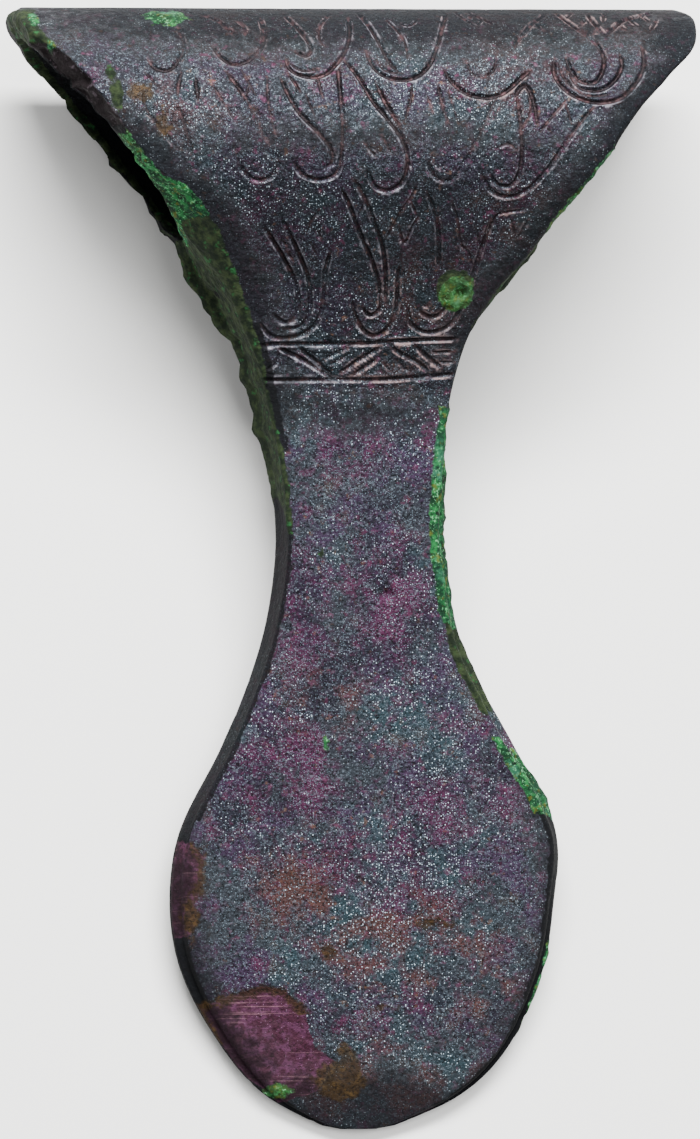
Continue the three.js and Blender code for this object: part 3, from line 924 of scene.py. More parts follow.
    def zones(self, p: np.ndarray, normal: np.ndarray) -> dict[Zone, np.ndarray]:
        """Amount of every zone at places on the casting.

        Args:
            p: places (x, t, w) in casting millimetres.
            normal: outward normals there, in the same axes.

        Returns:
            One array per zone: 0.5 on the zone's edge, 1 well inside it.
        """
        survey = Survey(self.form, p, normal)
        self._add_patches(survey)
        self._add_stain_rings(survey)
        self._add_runs(survey)
        self._mark_wear_and_shade(survey)
        return {zone: np.clip(amount, 0, 1) for zone, amount in survey.found.items()}

    def _add_patches(self, survey: Survey) -> None:
        """Lays the patches on the decorated face, and the cloudy ones on the back too."""
        for patch in self.patches:
            shown = (survey.w > 0) | (patch.zone in CLOUDY)
            inside = patch.inside(survey.x, survey.t)
            survey.put(patch.zone, np.where(shown, inside, NOWHERE), patch.amount)

    def _add_stain_rings(self, survey: Survey) -> None:
        """Lines the flaked patches with brown where stain has crept in along their edges."""
        x, t, front = survey.x, survey.t, survey.w > 0
        upper = front & (x < -5) & (t + 0.35 * x < 141.0)    # the flake's edge towards the neck
        for edge, shown, width, amount in ((FLAKE_EDGE, upper, 1.0, 0.9),
                                           (SCAR_EDGE, front & (x > -24.6), 1.1, 0.8)):
            inside = Patch(Zone.FLAKE, edge).inside(x, t)
            ring = np.minimum(inside + self.ring, width - inside)
            survey.put(Zone.OCHRE, np.where(shown, ring, NOWHERE), amount)

    def _add_runs(self, survey: Survey) -> None:
        """Lays the crusts, breaks, shaded rims and painted shade along the flanks, their ends and
        insides ragged.
        """
        x, t, w = survey.x, survey.t, survey.w
        far = self.face_drift + self.flank_drift * smooth(1.0, 0.2, survey.height)
        drift = survey.drift * far + self.hole_drift * survey.holes
        solid = self.crust_width + self.hole_depth * survey.holes + self.hole_lean * w
        solid += self.face_cover * (1 - survey.sideways)
        for run in self.runs:
            inward = self.form.outline[run.side].at(t) - run.side.value * x
            reach = run.reach + (self.form.inset[run.side].at(t) if run.from_edge else 0)
            along = np.minimum(t - run.start, run.end - t) + drift * survey.sideways
            inside = np.minimum(reach - inward, along)
            if run.zone in CRUSTY:
                inside = np.minimum(inside, solid)
            survey.put(run.zone, np.where(w * run.face < 0, NOWHERE, inside), run.amount)

    def _mark_wear_and_shade(self, survey: Survey) -> None:
        """Marks the worn head, and paints shade on the flanks and in the haft hole, which has no
        crust.
        """
        x, t, w = survey.x, survey.t, survey.w
        found, form = survey.found, self.form
        found[Zone.WORN] = smooth(*self.worn, t)
        bore = np.hypot((t - form.hole_t) / form.hole_along, w / form.hole_deep)
        inside = smooth(*self.bore_wall, bore)
        # painted shade on the sideways-facing flanks, left off at random, and inside the haft hole
        bare = smooth(-0.25, 0.1, survey.bare - 0.3 * (x < 0))
        bare = bare * smooth(0.5, 0.0, survey.height - 0.9 * (x > 0))
        rim = np.maximum(survey.sideways * (1 - self.flank_shade_bared * bare), inside)
        found[Zone.RIM] = np.maximum(found[Zone.RIM], self.flank_shade_amount * rim)
        for zone in (Zone.BREAK, Zone.CRUST):
            found[zone] = np.minimum(found[zone], 1 - inside)


@dataclass(frozen=True)
class Dent:
    """Single deep pit at (x, t); its floor is level out to a share of its size."""

    x: float
    t: float
    wide: float
    long: float
    depth: float
    floor: float

    def cut(self, x: np.ndarray, t: np.ndarray) -> np.ndarray:
        """Depth of the pit at places."""
        away = np.hypot((x - self.x) / self.wide, (t - self.t) / self.long)
        return self.depth * smooth(1.0, self.floor, away)


@dataclass
class Relief:
    """Surface relief finer than the form: cuts, pits, lumps, chips and flaked patches."""

    form: CastingForm
    engraving: Engraving
    wear: Texture = Texture(0.82, ((0.3, Noise(5.0, 12, 2)),))
    lip_breakup: Texture = Texture(0.7, ((0.9, Noise(0.8, 14, 2)),))
    skin: Texture = Texture(0.0, ((0.07, Noise(14.0, 21, 2)), (0.022, Noise(2.2, 23))))
    lumps: Texture = Texture(0.28, ((0.42, Noise(2.4, 41)), (0.22, Noise(0.8, 43, 2))))
    crust_edge: tuple[float, float] = (0.4, 0.8)
    olive_share: float = 0.6
    pit_mm: float = 0.1
    flake_mm: float = 0.16
    nick_mm: float = 0.4
    nick_reach: float = 1.5
    dents: tuple[Dent, ...] = (
        Dent(3.5, 83.7, 1.5, 1.0, 0.5, 0.5), Dent(13.4, 40.6, 1.2, 1.3, 0.9, 0.4))

    def lift(self, p: np.ndarray, normal: np.ndarray, zones: dict[Zone, np.ndarray]) -> np.ndarray:
        """How far each place stands out of the plain form.

        Args:
            p: places (x, t, w) in casting millimetres.
            normal: outward normals at those places, in the same axes.
            zones: amounts from the patina map; the grooves and their lips are added to it.

        Returns:
            Millimetres along the normal.
        """
        x, t, w = p.T
        front = smooth(0.1, 0.4, normal[:, 2]) * (w > 0)
        cut, burr, near, pale = self.engraving.reach(p)
        worn = self.wear.at(p)
        crust = zones[Zone.CRUST] + 0.15 * Noise(1.3, 40, 2).at(p)
        olive = self.olive_share * smooth(*self.crust_edge, zones[Zone.OLIVE])
        crust = np.maximum(smooth(*self.crust_edge, crust), olive)
        clean = 1 - np.clip(crust * 1.2, 0, 1)
        # dark line of the cuts (painted shade and dirt) and pale streak of the lips (painted
        # highlight and pale fill), where no crust hides them
        zones[Zone.GROOVE] = near * front * clean * np.clip(worn, 0, 1)
        zones[Zone.LIP] = pale * front * clean * np.clip(worn * self.lip_breakup.at(p), 0, 1)
        lift = (burr - cut * np.clip(worn, 0.3, 1.05)) * front * clean
        lift += self.skin.at(p)
        pits = smooth(0.42, 0.7, Noise(1.7, 31, 2).at(p))
        pits *= smooth(-0.1, 0.4, Noise(9.0, 33, 2).at(p))
        lift -= self.pit_mm * pits * (1 - near)
        lift += crust * self.lumps.at(p)
        lift -= smooth(0.35, 0.7, zones[Zone.BREAK]) * (0.1 + np.abs(Noise(3.2, 51).at(p)))
        lift -= self.flake_mm * smooth(0.42, 0.58, zones[Zone.FLAKE]) * (w > 0)
        for dent in self.dents:
            lift -= dent.cut(x, t) * front
        inward = np.clip((self.form.half_width(x, t) - np.abs(x)) / self.nick_reach, 0, 1)
        nicks = smooth(0.5, 0.8, Noise(3.0, 61, 2).at(p)) * (1 - inward) * smooth(110, 120, t)
        return lift - self.nick_mm * nicks


# ---- building the piece -------------------------------------------------------------
REST_SLACK = 2e-5    # vertices lower than this, in metres, stay on the ground


def select_only(obj: bpy.types.Object) -> None:
    """Makes one object selected and active."""
    bpy.ops.object.select_all(action="DESELECT")
    obj.select_set(True)
    bpy.context.view_layer.objects.active = obj


def read_vertices(mesh: bpy.types.Mesh, name: str = "co") -> np.ndarray:
    """Vertex coordinates, or normals, of a mesh.

    Args:
        mesh: mesh to read.
        name: "co" or "normal".

    Returns:
        One row per vertex.
    """
    flat = np.zeros(len(mesh.vertices) * 3, np.float32)
    mesh.vertices.foreach_get(name, flat)
    return flat.reshape(-1, 3).astype(float)


def write_vertices(mesh: bpy.types.Mesh, p: np.ndarray) -> None:
    """Puts new coordinates into a mesh."""
    mesh.vertices.foreach_set("co", p.astype(np.float32).ravel())
    mesh.update()


@contextmanager
def editing(action: str, kind: Optional[str] = None) -> Iterator[None]:
    """Edit mode on the active object, and object mode again afterwards.

    Args:
        action: "SELECT" or "DESELECT", for everything, before the work starts.
        kind: "EDGE" or "FACE" where the work is done on those.
    """
    bpy.ops.object.mode_set(mode="EDIT")
    if kind:
        bpy.ops.mesh.select_mode(type=kind)
    bpy.ops.mesh.select_all(action=action)
    yield
    bpy.ops.object.mode_set(mode="OBJECT")


def split_edges(obj: bpy.types.Object, chosen: np.ndarray, cuts: int) -> None:
    """Subdivides some edges of the active object.

    Args:
        obj: the active object.
        chosen: which edges are cut.
        cuts: how many new points each of them gets.
    """
    with editing("DESELECT", "EDGE"):
        pass
    obj.data.edges.foreach_set("select", chosen)
    bpy.ops.object.mode_set(mode="EDIT")
    bpy.ops.mesh.subdivide(number_cuts=cuts)
    bpy.ops.object.mode_set(mode="OBJECT")


def edge_ends(mesh: bpy.types.Mesh, p: np.ndarray) -> tuple[np.ndarray, np.ndarray]:
    """Places of both ends of every edge.

    Args:
        mesh: mesh whose edges are read.
        p: one place per vertex.

    Returns:
        The first ends and the second ends, one row per edge.
    """
    ends = np.zeros(len(mesh.edges) * 2, np.int32)
    mesh.edges.foreach_get("vertices", ends)
    return p[ends[0::2]], p[ends[1::2]]


def subtract(obj: bpy.types.Object, tool: bpy.types.Object) -> None:
    """Cuts one object away from another and removes the tool.

    Args:
        obj: object that is cut.
        tool: closed object that is taken away from it.
    """
    select_only(obj)
    cut = obj.modifiers.new("cut", "BOOLEAN")
    cut.operation, cut.solver, cut.object = "DIFFERENCE", "EXACT", tool
    bpy.ops.object.modifier_apply(modifier=cut.name)
    bpy.data.objects.remove(tool)
    with editing("SELECT"):
        bpy.ops.mesh.dissolve_degenerate(threshold=2e-6)
        bpy.ops.mesh.select_all(action="DESELECT")


@dataclass
class AxeHead:
    """The one casting: lofted, bored, laid on its back, refined and worn."""

    form: CastingForm
    seat: Seat
    relief: Relief
    patina: PatinaAndShadeMap
    front_cells: int = 64
    back_cells: int = 36
    row_step: float = 1.15
    rows_end: float = 146.0         # beyond it the rows crowd together towards the cutting edge
    head_edge: float = 0.75         # longest edges in millimetres, from the finest part
    rim_edge: float = 0.85
    face_edge: float = 1.0
    back_edge: float = 1.7
    line_edge: float = 0.3          # along the ornament's lines
    coarsest: float = 9.0
    bore_sides: int = 96
    bore_length: float = 120.0
    bore_rings: int = 60

    def _rows(self) -> np.ndarray:
        """Lengths of the loft's rings, close together where the form turns quickly."""
        turn = np.radians(np.arange(4.5, 66, 3.6))
        nape = self.form.tube_reach * (1 - np.cos(turn))
        body = np.arange(nape[-1] + self.row_step, self.rows_end, self.row_step)
        span = self.form.length - body[-1]
        turn = np.radians(np.arange(5, 90.1, 5))
        return np.concatenate([nape, body, body[-1] + span * np.sin(turn)])

    def _ring(self, t: float) -> np.ndarray:
        """One closed section of the casting.

        Args:
            t: length from the nape.

        Returns:
            Points (x, t, w); the last one meets the first.
        """
        left, right = (self.form.flank(t, side) for side in Side)
        across = []
        for start, end, cells, face in ((left[0], right[0], self.front_cells, 1),
                                        (right[-1], left[-1], self.back_cells, -1)):
            x = start[0] + (end[0] - start[0]) * np.arange(cells) / cells
            share = np.where(x < 0, x / min(start[0], end[0]), x / max(start[0], end[0]))
            one = np.full(cells, t)
            w = face * self.form.thickness(one) * self.form.crown(one, share)
            across.append(np.stack([x, w], 1))
        section = np.concatenate([across[0], right[:-1], across[1], left[::-1]])
        return np.column_stack([section[:, 0], np.full(len(section), t), section[:, 1]])

    def _loft(self) -> bpy.types.Object:
        """A grid rolled round the casting's sections, closed along its seam and ends.

        Returns:
            The loft, in casting axes (x, -t, w) and metres.
        """
        rings = [self._ring(t) for t in self._rows()]
        across, along = len(rings[0]), len(rings)
        bpy.ops.mesh.primitive_grid_add(x_subdivisions=across - 1, y_subdivisions=along - 1, size=1)
        obj = bpy.context.object
        obj.name = "axe_head_patinated"
        points = np.concatenate(rings)
        write_vertices(obj.data, np.stack([points[:, 0], -points[:, 1], points[:, 2]], 1) * MM)
        with editing("SELECT"):
            bpy.ops.mesh.remove_doubles(threshold=1e-7)
        with editing("DESELECT", "EDGE"):
            bpy.ops.mesh.select_non_manifold()
            bpy.ops.mesh.edge_face_add()
            bpy.ops.mesh.select_all(action="SELECT")
            bpy.ops.mesh.normals_make_consistent(inside=False)
        return obj

    def _bore(self, obj: bpy.types.Object) -> None:
        """Cuts the oval haft hole across the head.

        Args:
            obj: the loft, still in casting axes.
        """
        bpy.ops.mesh.primitive_cylinder_add(
            vertices=self.bore_sides, radius=1, depth=self.bore_length * MM, end_fill_type="NGON",
            location=(0, -self.form.hole_t * MM, 0), rotation=(0, math.pi / 2, 0))
        bar = bpy.context.object
        bar.scale = (self.form.hole_deep * MM, self.form.hole_along * MM, 1)
        bpy.ops.object.transform_apply(location=True, rotation=True, scale=True)
        a, b = edge_ends(bar.data, read_vertices(bar.data))
        lengthwise = np.abs(a[:, 0] - b[:, 0]) > 0.5 * self.bore_length * MM
        split_edges(bar, lengthwise, self.bore_rings - 1)
        subtract(obj, bar)

    def _lay(self, obj: bpy.types.Object) -> None:
        """Lays the casting on its back and rubs the small flat on which it rests."""
        p = read_vertices(obj.data) / MM
        write_vertices(obj.data, self.seat.to_frame(np.stack([p[:, 0], -p[:, 1], p[:, 2]], 1)))
        bpy.ops.mesh.primitive_cube_add(size=0.4, location=(0, 0, -0.2))
        subtract(obj, bpy.context.object)

    def _refine(self, obj: bpy.types.Object, wanted: Callable[[np.ndarray], np.ndarray]) -> None:
        """Splits every edge that is longer than its place calls for.

        Args:
            obj: piece to refine.
            wanted: longest edge allowed at places (x, t, w), in millimetres.
        """
        a, b = edge_ends(obj.data, self.seat.to_casting(read_vertices(obj.data)))
        split_edges(obj, np.linalg.norm(a - b, axis=1) > wanted((a + b) / 2), 1)

    def _triangulate(self, obj: bpy.types.Object) -> None:
        """Turns the faces with many sides, left by the bore and the flat, into triangles."""
        with editing("DESELECT", "FACE"):
            bpy.ops.mesh.select_face_by_sides(number=4, type="GREATER")
            bpy.ops.mesh.quads_convert_to_tris(quad_method="BEAUTY", ngon_method="BEAUTY")

    def _grain(self, p: np.ndarray) -> np.ndarray:
        """Longest edge allowed at places on the casting."""
        x, t, w = p.T
        ornament = (w > 0.5 * self.form.thickness(t)) & (t < 56)
        near_edge = (self.form.half_width(x, t) - np.abs(x) < 4) & (t > 3)
        longest = [self.head_edge, self.rim_edge, self.face_edge]
        return np.select([ornament, near_edge, w > 0], longest, self.back_edge)

    def _fine_grain(self, p: np.ndarray) -> np.ndarray:
        """Longest edge allowed once the lines of the ornament are known."""
        near = self.relief.engraving.reach(p)[2] > 0
        cut = near & (p[:, 2] > 0.3 * self.form.thickness(p[:, 1]))
        return np.where(cut, self.line_edge, self.coarsest)

    def build(self, finish: bpy.types.Material) -> bpy.types.Object:
        """Builds the finished casting.

        Args:
            finish: material of the whole piece.

        Returns:
            The piece, at the origin of the part's frame.
        """
        obj = self._loft()
        self._bore(obj)
        self._lay(obj)
        self._triangulate(obj)
        for wanted in (self._grain, self._grain, self._fine_grain, self._fine_grain):
            self._refine(obj, wanted)
            self._triangulate(obj)
        self._wear(obj)
        bpy.ops.object.shade_smooth()
        obj.data.materials.clear()
        obj.data.materials.append(finish)
        return obj

    def _wear(self, obj: bpy.types.Object) -> None:
        """Moves every vertex by the relief and writes the zones, painted shade among them, as
        attributes.

        Args:
            obj: the refined casting, in the part's frame.
        """
        p, normal = read_vertices(obj.data), read_vertices(obj.data, "normal")
        place = self.seat.to_casting(p)
        turned = self.seat.to_casting(p + normal * MM) - place
        zones = self.patina.zones(place, turned)
        lift = self.relief.lift(place, turned, zones)
        moved = p + normal * lift[:, None] * MM
        resting = p[:, 2] < REST_SLACK
        moved[:, 2] = np.where(resting, p[:, 2], np.maximum(moved[:, 2], 0))
        write_vertices(obj.data, moved)
        for zone, amount in zones.items():
            layer = obj.data.attributes.new(zone.value, "FLOAT", "POINT")
            layer.data.foreach_set("value", amount.astype(np.float32))


# ---- finish -------------------------------------------------------------------------
def linear(hexed: int) -> tuple[float, float, float, float]:
    """Linear colour with full alpha from an sRGB hex number."""
    parts = [((hexed >> shift) & 255) / 255 for shift in (16, 8, 0)]
    return (*(c / 12.92 if c <= 0.04045 else ((c + 0.055) / 1.055) ** 2.4 for c in parts), 1.0)


def add_node(tree: bpy.types.NodeTree, kind: str, settings: dict,
             inputs: Optional[dict] = None) -> bpy.types.Node:
    """Adds a node with its settings and links.

    Args:
        tree: node tree that gets the node.
        kind: Blender's name for the kind of node.
        settings: properties by name.
        inputs: sources or plain values, by the name or number of the socket they feed.

    Returns:
        The new node.
    """
    made = tree.nodes.new(kind)
    for name, value in settings.items():
        setattr(made, name, value)
    for name, value in (inputs or {}).items():
        if isinstance(value, bpy.types.NodeSocket):
            tree.links.new(value, made.inputs[name])
        else:
            made.inputs[name].default_value = value
    return made


Socket = bpy.types.NodeSocket


@dataclass(frozen=True)
class Wiring:
    """Sums, ramps and mixes of one node tree; each takes sockets or plain values."""

    tree: bpy.types.NodeTree

    def calc(self, operation: str, *values: Socket | float) -> Socket:
        """Result of one operation on its values, in order."""
        inputs = dict(enumerate(values))
        return add_node(self.tree, "ShaderNodeMath", {"operation": operation}, inputs).outputs[0]

    def ramp(self, value: Socket, start: float, full: float, top: float = 1.0) -> Socket:
        """Smooth rise from 0 where the value is at start to top where it is at full."""
        inputs = {0: value, 1: start, 2: full, 4: top}
        smoothed = {"interpolation_type": "SMOOTHSTEP"}
        return add_node(self.tree, "ShaderNodeMapRange", smoothed, inputs).outputs[0]

    def mix(self, share: Socket, low: Socket | float, high: Socket | float) -> Socket:
        """Number between low and high, by a share."""
        return add_node(self.tree, "ShaderNodeMix", {}, {0: share, 2: low, 3: high}).outputs[0]

    def blend(self, share: Socket, under: Socket | tuple, over: tuple) -> Socket:
        """Colour between one and another, by a share."""
        colours = {0: share, 6: under, 7: over}
        return add_node(self.tree, "ShaderNodeMix", {"data_type": "RGBA"}, colours).outputs[2]

    def bump(self, height: Socket, strength: float, deep: float, **more: Socket) -> Socket:
        """Normal tilted by a height, whose full depth is given in millimetres."""
        inputs = {"Height": height, "Strength": strength, "Distance": deep * MM, **more}
        return add_node(self.tree, "ShaderNodeBump", {}, inputs).outputs[0]


class Mottle(Enum):
    """Noises of the finish: size in millimetres, finer layers and their strength."""

    CLOUD = (15.0, 3.0, 0.55)
    BLOTCH = (5.5, 5.0, 0.66)
    FLECK = (1.3, 3.0, 0.6)
    GRAIN = (0.42, 2.0, 0.7)    # cast grain; the real one is finer, and is drawn so that it shows


class Extra(Enum):
    """Patterns of the finish that are not plain noise."""

    # the glints are painted highlights on pale crystals of the skin
    GLINT = "pale crystals that stand out of the skin"
    DUST = "smaller and weaker ones"
    STREAK = "fine scratches across the flake"


Pattern = Zone | Extra | tuple[Mottle, int]


@dataclass(frozen=True)
class Coat:
    """One colour laid over those before it, as far as a pattern allows.

    It is absent where the pattern is at start, and has its strength where it is at full. The
    zone named in within keeps the coat to a part of the casting.
    """

    colour: int
    pattern: Pattern
    start: float
    full: float
    strength: float = 1.0
    within: Optional[Zone] = None


@dataclass(frozen=True)
class Grains:
    """Round pale crystals painted with their glints of light: spacing in millimetres, radius as a
    share of it, what gathers them.
    """

    pattern: Extra
    spacing: float
    radius: float
    crowd: Pattern
    rare: float


@dataclass(frozen=True)
class PatinatedBronze:
    """Old cast bronze: a dark slate skin full of pale grains with painted glints, mottled purple
    and warm brown, with malachite-green and olive crusts on its rims, and shade painted on its
    edges, flanks, haft hole and cuts."""

    slate: int = 0x292D33
    grains: tuple[Grains, ...] = (
        Grains(Extra.GLINT, 0.33, 0.36, (Mottle.CLOUD, 0), 0.6),
        Grains(Extra.DUST, 0.22, 0.46, (Mottle.BLOTCH, 2), 0.34),
    )
    coats: tuple[Coat, ...] = (
        # the clouded skin
        Coat(0x25353B, (Mottle.CLOUD, 0), 0.45, 0.62),
        Coat(0x1C1824, (Mottle.CLOUD, 1), 0.48, 0.64, 0.8),
        Coat(0x332339, (Mottle.BLOTCH, 0), 0.46, 0.6, 0.85),
        Coat(0x481D38, (Mottle.BLOTCH, 1), 0.54, 0.67, 0.7),
        Coat(0x3A2D28, (Mottle.BLOTCH, 2), 0.54, 0.68, 0.6),
        Coat(0x1A1420, (Mottle.BLOTCH, 0), 0.38, 0.56, 0.7, Zone.TINT),
        Coat(0x451B38, (Mottle.BLOTCH, 2), 0.42, 0.58, 0.8, Zone.TINT),
        Coat(0x472E26, (Mottle.BLOTCH, 0), 0.44, 0.6, 0.75, Zone.WARM),
        Coat(0x0E0F12, Zone.WORN, 0, 1, 0.42),
        # its grain: dark pores, grey crystals and pale grains with painted glints, fewer where
        # hands wore the head
        Coat(0x07080B, (Mottle.GRAIN, 0), 0.5, 0.36, 0.85),
        Coat(0x565F67, (Mottle.GRAIN, 1), 0.52, 0.68, 0.5),
        Coat(0x7A8D9A, Extra.DUST, 0, 1, 0.5),
        Coat(0xC6D6E0, Extra.GLINT, 0, 1, 0.9),
        Coat(0x17191E, Zone.WORN, 0, 1, 0.38),
        # flecks of red and ochre copper salts
        Coat(0x5A2642, (Mottle.FLECK, 0), 0.58, 0.72, 0.4),
        Coat(0x6A4A34, (Mottle.FLECK, 2), 0.62, 0.76, 0.4),
        # painted shade where the form turns from the light, with dark patina clouds
        Coat(0x0B0C0F, Zone.DUSK, 0, 1, 0.82),
        # the graver's lines: dark cuts, painted shade with warm dirt, and pale lips, a painted
        # highlight below the lines on the head's bulge and pale fill elsewhere
        Coat(0x1E1618, Zone.GROOVE, 0.42, 0.62, 0.85),
        Coat(0x4C3638, (Mottle.FLECK, 1), 0.5, 0.64, 0.8, Zone.GROOVE),
        Coat(0x8A8891, Zone.LIP, 0.12, 0.75, 0.55),
        Coat(0x6E4A3C, Zone.LIP, 0.12, 0.7, 0.55, Zone.WARM),
        # painted shade on the rims, flanks and haft hole; and where the skin flaked off, with
        # painted glints and painted shade near its rim
        Coat(0x08090B, Zone.RIM, 0, 1, 0.92),
        Coat(0x3A1C2B, Zone.FLAKE, 0, 1),
        Coat(0x55304A, (Mottle.FLECK, 0), 0.46, 0.62, 0.7, Zone.FLAKE),
        Coat(0x8A6C86, Extra.GLINT, 0, 1, 0.5, Zone.FLAKE),
        Coat(0x1A1012, (Mottle.GRAIN, 0), 0.46, 0.36, 0.6, Zone.FLAKE),
        Coat(0x7E5C66, Extra.STREAK, 0.64, 0.72, 0.6, Zone.FLAKE),
        Coat(0x0B0A0C, Zone.DUSK, 0.2, 1, 0.8, Zone.FLAKE),
        Coat(0x281D0D, Zone.OCHRE, 0, 1, 0.75),
        Coat(0x43331A, (Mottle.FLECK, 0), 0.5, 0.66, 0.55, Zone.OCHRE),
        Coat(0x110D0B, (Mottle.GRAIN, 0), 0.5, 0.38, 0.8, Zone.OCHRE),
        # the broken edge and the crusts
        Coat(0x151012, Zone.BREAK, 0, 1),
        Coat(0x443C42, (Mottle.FLECK, 1), 0.54, 0.66, 0.7, Zone.BREAK),
        Coat(0x121A11, Zone.OLIVE, 0, 1),
        Coat(0x2B3520, (Mottle.FLECK, 0), 0.4, 0.66, 0.8, Zone.OLIVE),
        Coat(0x1F4F2A, (Mottle.FLECK, 2), 0.58, 0.7, 0.7, Zone.OLIVE),
        Coat(0x0D2817, Zone.CRUST, 0, 1),
        Coat(0x1B592E, (Mottle.FLECK, 1), 0.44, 0.6, 1.0, Zone.CRUST),
        Coat(0x080D0A, (Mottle.FLECK, 0), 0.48, 0.36, 0.9, Zone.CRUST),
        Coat(0x74BC86, (Mottle.GRAIN, 1), 0.54, 0.7, 0.5, Zone.CRUST),
        Coat(0x0F2A1E, (Mottle.BLOTCH, 1), 0.46, 0.6, 0.6, Zone.CRUST),
        Coat(0x4C9A78, (Mottle.BLOTCH, 0), 0.54, 0.66, 0.2, Zone.CRUST),
        Coat(0x4A4D1A, (Mottle.FLECK, 2), 0.56, 0.68, 0.7, Zone.CRUST),
        Coat(0x3A4A1E, Zone.CRUST, 0, 1, 0.35, Zone.WARM),
    )
    dull: tuple[Zone, ...] = (Zone.CRUST, Zone.OLIVE, Zone.BREAK, Zone.RIM, Zone.DUSK)
    frayed: tuple[float, float] = (0.5, 0.07)     # how far flecks move an edge, and its softness
    clouded: tuple[float, float] = (1.0, 0.35)    # the same for zones with no clear edge
    stained: tuple[float, float] = (1.1, 0.18)    # and for the brown stains
    sheen: float = 0.85
    skin_rough: float = 0.58
    worn_rough: float = 0.35
    grain_rough: float = 0.8
    dull_rough: float = 0.9
    hammered_mm: float = 0.5
    grain_mm: float = 0.08

    def _edge(self, zone: Zone) -> tuple[float, float]:
        """How far flecks move a zone's edge, and how soft the edge is."""
        if zone is Zone.OCHRE:
            return self.stained
        return self.clouded if zone in (*CLOUDY, Zone.WORN) else self.frayed

    def _patterns(self, tree: bpy.types.NodeTree) -> dict[Pattern, Socket]:
        """Every pattern that the coats use.

        Args:
            tree: material's node tree.

        Returns:
            One socket per pattern: noises about 0.5, the rest from 0 to 1.
        """
        wiring = Wiring(tree)
        coords = add_node(tree, "ShaderNodeTexCoord", {})
        place = add_node(tree, "ShaderNodeMapping", {}, {
            "Vector": coords.outputs["Object"], "Scale": (1 / MM,) * 3}).outputs[0]
        found = {}
        for mottle in Mottle:
            size, detail, rough = mottle.value
            noise = add_node(tree, "ShaderNodeTexNoise", {}, {
                "Vector": place, "Scale": 1 / size, "Detail": detail, "Roughness": rough})
            split = add_node(tree, "ShaderNodeSeparateColor", {}, {0: noise.outputs["Color"]})
            found |= {(mottle, k): split.outputs[k] for k in range(3)}
        for zone in Zone:
            layer = add_node(tree, "ShaderNodeAttribute", {"attribute_name": zone.value})
            found[zone] = layer.outputs["Fac"]
            if zone not in (Zone.GROOVE, Zone.LIP):
                spread, soft = self._edge(zone)
                moved = wiring.calc("MULTIPLY_ADD", found[Mottle.FLECK, 2], spread, found[zone])
                middle = 0.5 + 0.5 * spread
                found[zone] = wiring.ramp(moved, middle - soft, middle + soft)
        for grains in self.grains:
            cells = add_node(tree, "ShaderNodeTexVoronoi", {}, {
                "Vector": place, "Scale": 1 / grains.spacing})
            lots = add_node(tree, "ShaderNodeSeparateColor", {}, {0: cells.outputs["Color"]})
            crowded = wiring.calc("MULTIPLY_ADD", found[grains.crowd], 2.0, lots.outputs[0])
            chosen = wiring.ramp(crowded, 1.0 + grains.rare, 1.5 + grains.rare)
            disc = wiring.ramp(cells.outputs["Distance"], grains.radius, 0.4 * grains.radius)
            found[grains.pattern] = wiring.calc("MULTIPLY", chosen, disc)
        stretched = add_node(tree, "ShaderNodeMapping", {}, {
            "Vector": place, "Scale": (0.07, 3.0, 0.3), "Rotation": (0, 0, 0.08)})
        found[Extra.STREAK] = add_node(tree, "ShaderNodeTexNoise", {}, {
            "Vector": stretched.outputs[0], "Scale": 1.0, "Detail": 1.0}).outputs[0]
        return found

    def material(self) -> bpy.types.Material:
        """The material of the whole casting.

        Returns:
            A material that reads the zone attributes and Object coordinates.
        """
        made = bpy.data.materials.new("bronze_patina_and_painted_shade")
        made.use_nodes = True
        tree = made.node_tree
        tree.nodes.clear()
        wiring, found = Wiring(tree), self._patterns(tree)
        skin: Socket | tuple = linear(self.slate)
        for coat in self.coats:
            reach = wiring.ramp(found[coat.pattern], coat.start, coat.full, coat.strength)
            if coat.within:
                reach = wiring.calc("MULTIPLY", reach, found[coat.within])
            skin = wiring.blend(reach, skin, linear(coat.colour))

        # crusts, breaks, stains, the shaded rims and the painted shade are dull; the slate skin
        # keeps a metal's sheen
        crust_and_shade = found[self.dull[0]]
        for zone in self.dull[1:]:
            crust_and_shade = wiring.calc("MAXIMUM", crust_and_shade, found[zone])
        rough = wiring.mix(found[Zone.WORN], self.skin_rough, self.worn_rough)
        rough = wiring.mix(found[Mottle.GRAIN, 1], self.grain_rough, rough)
        beaten = wiring.calc("MULTIPLY_ADD", found[Zone.WORN], 0.4, 0.6)
        beaten = wiring.calc("MULTIPLY", found[Mottle.FLECK, 1], beaten)
        grain = wiring.calc("MULTIPLY_ADD", found[Extra.GLINT], 0.5, found[Mottle.GRAIN, 0])
        hammered = wiring.bump(beaten, 1.0, self.hammered_mm)
        shell = add_node(tree, "ShaderNodeBsdfPrincipled", {}, {
            "Base Color": skin, "Metallic": wiring.mix(crust_and_shade, self.sheen, 0.0),
            "Roughness": wiring.mix(crust_and_shade, rough, self.dull_rough),
            "Normal": wiring.bump(grain, 0.8, self.grain_mm, Normal=hammered),
            "Specular IOR Level": wiring.mix(crust_and_shade, 0.5, 0.1)})
        add_node(tree, "ShaderNodeOutputMaterial", {}, {"Surface": shell.outputs[0]})
        return made


@dataclass(frozen=True)
class PaleBoard:
    """Matt near-white board: a plain ground that takes a soft shadow."""

    colour: int = 0xF8F8F6

    def material(self) -> bpy.types.Material:
        """The board's material."""
        made = bpy.data.materials.new("matt_white_board")
        made.use_nodes = True
        shell = made.node_tree.nodes["Principled BSDF"]
        shell.inputs["Base Color"].default_value = linear(self.colour)
        shell.inputs["Roughness"].default_value = 0.9
        return made


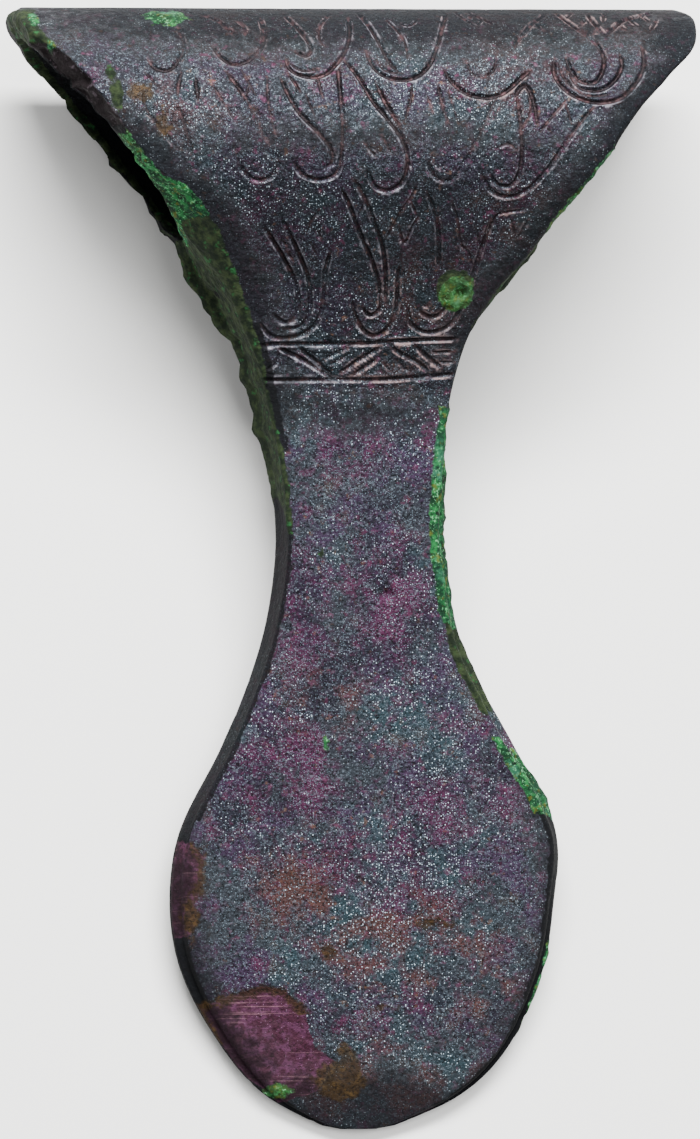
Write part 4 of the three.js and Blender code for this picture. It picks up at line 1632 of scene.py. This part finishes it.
# ---- studio -------------------------------------------------------------------------
@dataclass(frozen=True)
class Softbox:
    """Rectangular soft light that faces the casting."""

    name: str
    place: tuple[float, float, float]
    size: tuple[float, float]
    watts: float

    def add(self) -> None:
        """Adds the light, turned towards the floor's centre."""
        bpy.ops.object.light_add(type="AREA", location=self.place)
        lamp = bpy.context.object
        lamp.name, lamp.data.shape = self.name, "RECTANGLE"
        lamp.data.size, lamp.data.size_y = self.size
        lamp.data.energy = self.watts
        lamp.rotation_euler = (-Vector(self.place)).to_track_quat("-Z", "Y").to_euler()


@dataclass
class Studio:
    """Pale floor, soft light from beyond the nape, and the camera over the casting."""

    seat: Seat
    floor_half: float = 3.0
    distance: float = 3.0
    side_deg: float = 9.0
    aim: tuple[float, float, float] = (-0.8, 80.1, 0.0)    # where the camera looks, on the casting
    view_height: float = 162.6     # what the camera takes in along the casting, in millimetres
    sensor: float = 36.0
    far: float = 30.0
    fill: float = 0.62
    softboxes: tuple[Softbox, ...] = (
        Softbox("key_softbox", (0.0, 0.95, 1.05), (1.1, 0.34), 78.0),
        Softbox("top_softbox", (0.3, 0.1, 1.5), (0.9, 0.9), 16.0),
    )

    def floor(self) -> None:
        """Adds the board on which the casting lies."""
        bpy.ops.mesh.primitive_plane_add(size=2 * self.floor_half)
        board = bpy.context.object
        board.name = "floor"
        board.data.materials.append(PaleBoard().material())

    def light(self) -> None:
        """Adds the softboxes and a dim even fill."""
        for softbox in self.softboxes:
            softbox.add()
        world = bpy.data.worlds.new("studio_fill")
        world.use_nodes = True
        sky = world.node_tree.nodes["Background"].inputs
        sky["Strength"].default_value = self.fill
        sky["Color"].default_value = linear(0xFFFFFF)
        bpy.context.scene.world = world

    def camera(self) -> None:
        """Looks square on to the decorated face, a little from its left."""
        side, tip = math.radians(self.side_deg), self.seat.tip
        out, aside = math.cos(side), -math.sin(side)
        away = Vector((aside, -out * math.sin(tip), out * math.cos(tip)))
        right = Vector((0, math.cos(tip), math.sin(tip))).cross(away).normalized()
        up = away.cross(right)
        aim = Vector(self.seat.to_frame(np.array([self.aim]))[0])
        bpy.ops.object.camera_add(location=aim + away * self.distance)
        lens = bpy.context.object
        lens.rotation_euler = Matrix((right, up, away)).transposed().to_euler()
        lens.data.lens = self.sensor * self.distance / (self.view_height * MM)
        lens.data.clip_end = self.far
        bpy.context.scene.camera = lens


def main() -> None:
    """Builds the casting and its studio, and reports each."""
    logging.basicConfig(level=logging.INFO, format="%(name)s: %(message)s")
    form = CastingForm()
    seat = Seat(form)
    log.info("seat: tipped %.2f degrees on to its back", math.degrees(seat.tip))
    piece = AxeHead(form, seat, Relief(form, Engraving(form)), PatinaAndShadeMap(form))
    head = piece.build(PatinatedBronze().material())
    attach(head, "root")
    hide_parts(NODE)
    triangles = sum(len(face.vertices) - 2 for face in head.data.polygons)
    log.info("%s: %d triangles", head.name, triangles)
    studio = Studio(seat)
    studio.floor()
    studio.light()
    studio.camera()
    log.info("studio: floor, %d softboxes and camera", len(studio.softboxes))


if __name__ == "__main__":
    main()
